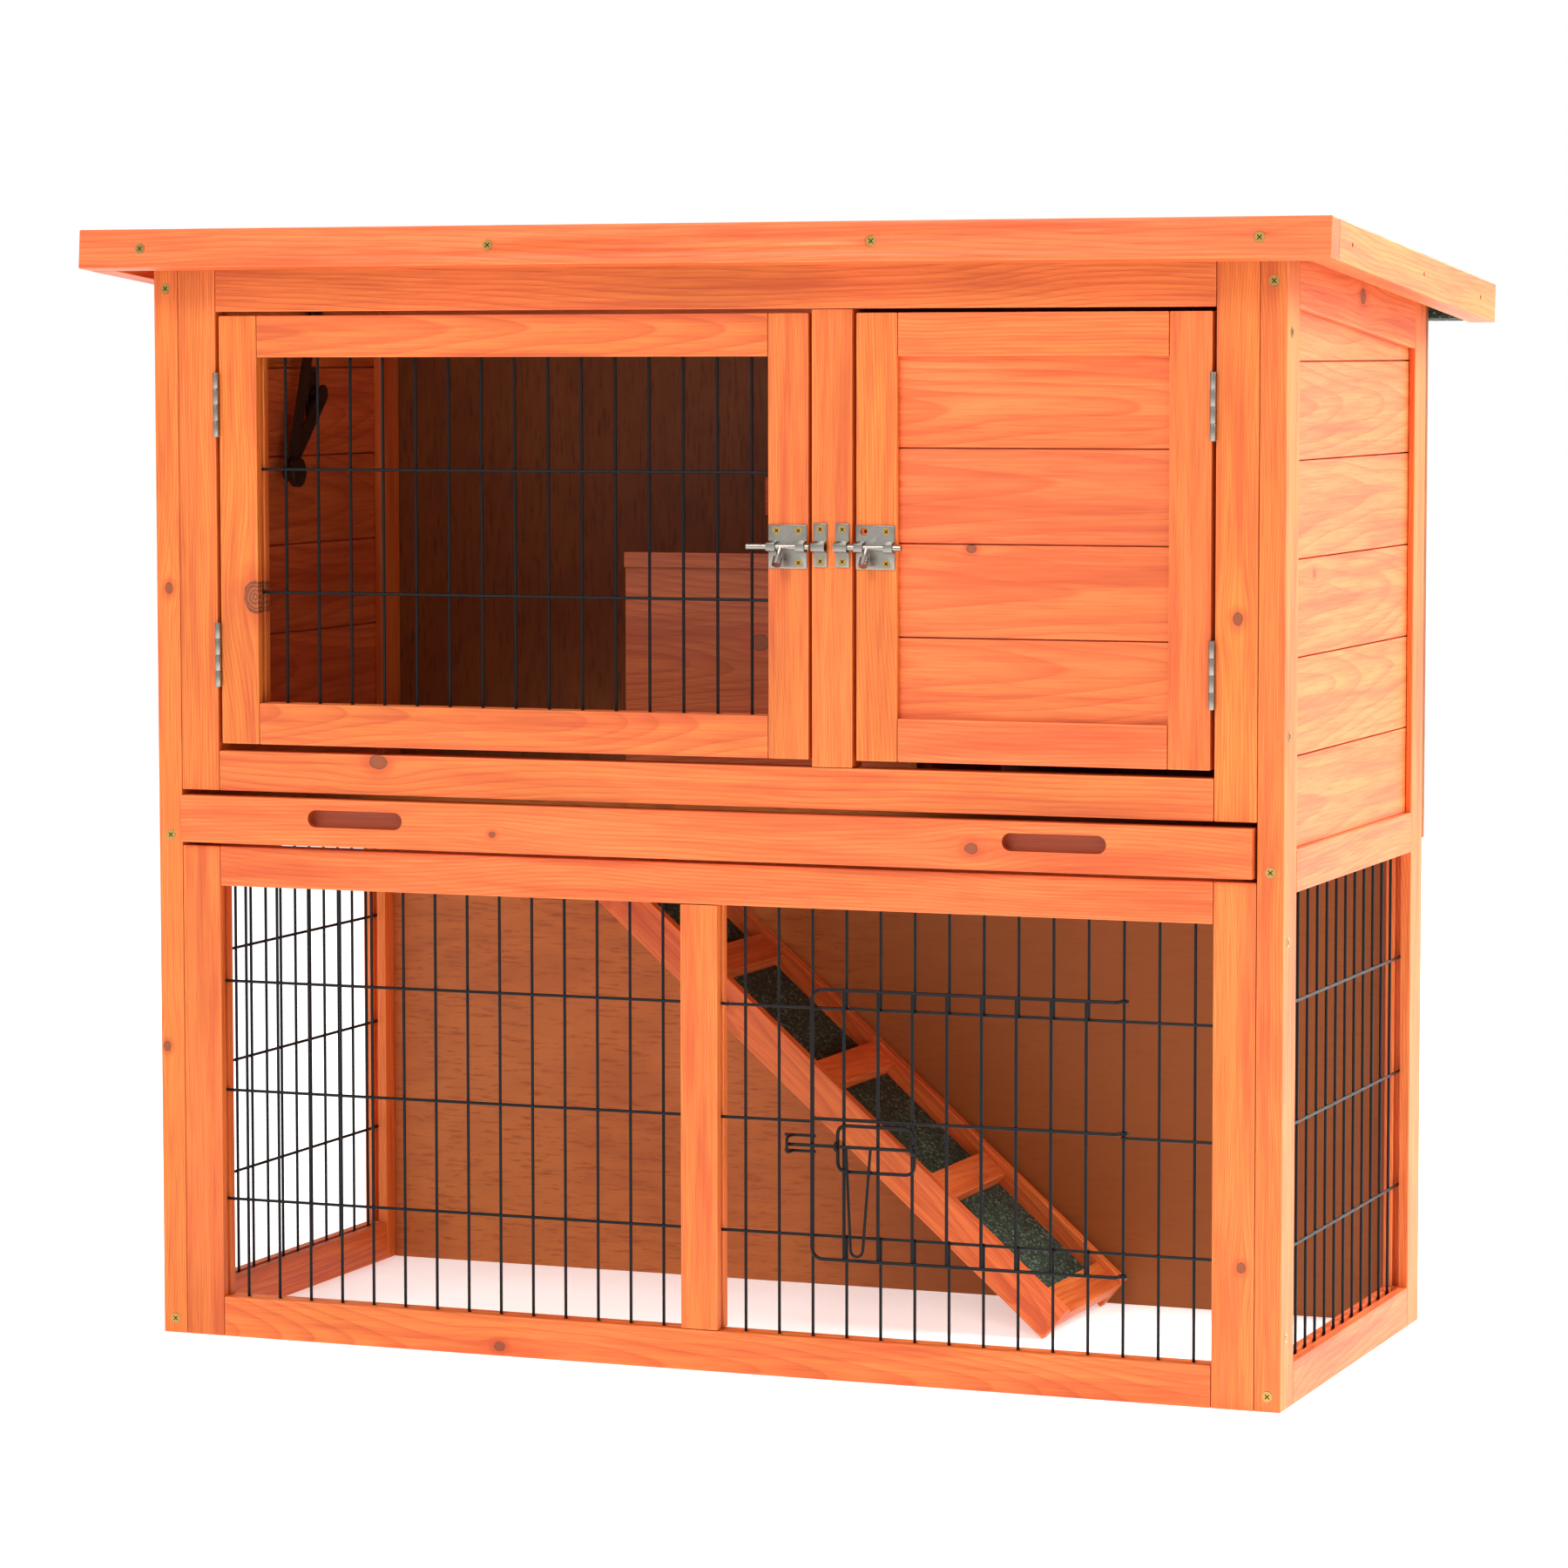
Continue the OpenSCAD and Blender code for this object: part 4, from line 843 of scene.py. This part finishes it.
door = []
for z, up in ((DOOR_ROWS[0], 1), (DOOR_ROWS[2], -1)):
    door.append(bent(placed([(HINGE_X - 3.6, DOOR_FRONT, z), (DOOR_LEFT, DOOR_FRONT, z),
                             (DOOR_LEFT, DOOR_FRONT, z + up * 40)]), 0.009, 8))
door.append(placed([(DOOR_LEFT, DOOR_FRONT, DOOR_ROWS[0] + 39), (DOOR_LEFT, DOOR_FRONT, DOOR_ROWS[2] - 39)]))
door.append(placed([(DOOR_LEFT, DOOR_FRONT, DOOR_ROWS[1]), (HINGE_X - 3.8, DOOR_FRONT, DOOR_ROWS[1])]))
for z in DOOR_ROWS:
    door.append(bent(placed([(HINGE_X - 6, DOOR_FRONT, z), (HINGE_X - 3.8, DOOR_FRONT, z),
                             (HINGE_X - 1.4, DOOR_FRONT + 4.4, z)]), 0.0015, 4))
    door.append(ring((HINGE_X, HINGE_Y, z), 2.4))
for x in RUN_UPRIGHTS[GAP]:
    door.append(placed([(x, DOOR_BACK, DOOR_ROWS[0] - 1), (x, DOOR_BACK, DOOR_ROWS[2] + 1)]))
# The loop that carries the latch: a rounded rectangle whose ends meet in the middle of its top
loop = [(130, LOOP_Z[1]), (LOOP_X[1], LOOP_Z[1]), (LOOP_X[1], LOOP_Z[0]), (LOOP_X[0], LOOP_Z[0]),
        (LOOP_X[0], LOOP_Z[1]), (130.5, LOOP_Z[1])]
door.append(bent(placed([(x, DOOR_BACK - LAYER, z) for x, z in loop]), 0.007, 7))
for x in LOOP_X:
    door.append(ring((x, LATCH_Y, LATCH_Z), 2.6, "x"))
wires("wire_door_wires", "wire_door", door, DOOR_WIRE_R / 1000)

latch = placed([(x, LATCH_Y, LATCH_Z) for x in LATCH_ENDS])
wires("wire_latch_rod", "wire_latch", [latch], DOOR_WIRE_R / 1000)
pull = [(PULL_X - 2 * PULL_R, LATCH_Y, LATCH_Z)]
for k in range(PULL_STEPS + 1):
    a = math.pi + math.pi * k / PULL_STEPS
    pull.append((PULL_X + PULL_R * math.cos(a), LATCH_Y - 3, PULL_LOW + PULL_R * math.sin(a)))
pull.append((PULL_X + 2 * PULL_R, LATCH_Y, LATCH_Z))
wires("wire_latch_pull", "wire_latch", [placed(pull)], PULL_WIRE_R / 1000)

# ---------- the floor ----------

FLOOR_HALF = 30
FLOOR_GLOW = 0.42
bm = bmesh.new()
bmesh.ops.create_grid(bm, x_segments=2, y_segments=2, size=FLOOR_HALF)
floor_mesh = bpy.data.meshes.new("studio_floor")
bm.to_mesh(floor_mesh)
bm.free()
floor = bpy.data.objects.new("studio_floor", floor_mesh)
SCENE.collection.objects.link(floor)
paint = Graph("studio_white")
cloud = paint.noise(paint.place(), scale=3)
white = paint.mix(cloud, rgb(252, 252, 252), rgb(255, 255, 255))
floor_mesh.materials.append(paint.finish(white, paint.ramp(cloud, 0, 1, 0.8, 0.9)))
paint.bsdf.inputs["Emission Color"].default_value = (1, 1, 1, 1)
paint.bsdf.inputs["Emission Strength"].default_value = FLOOR_GLOW
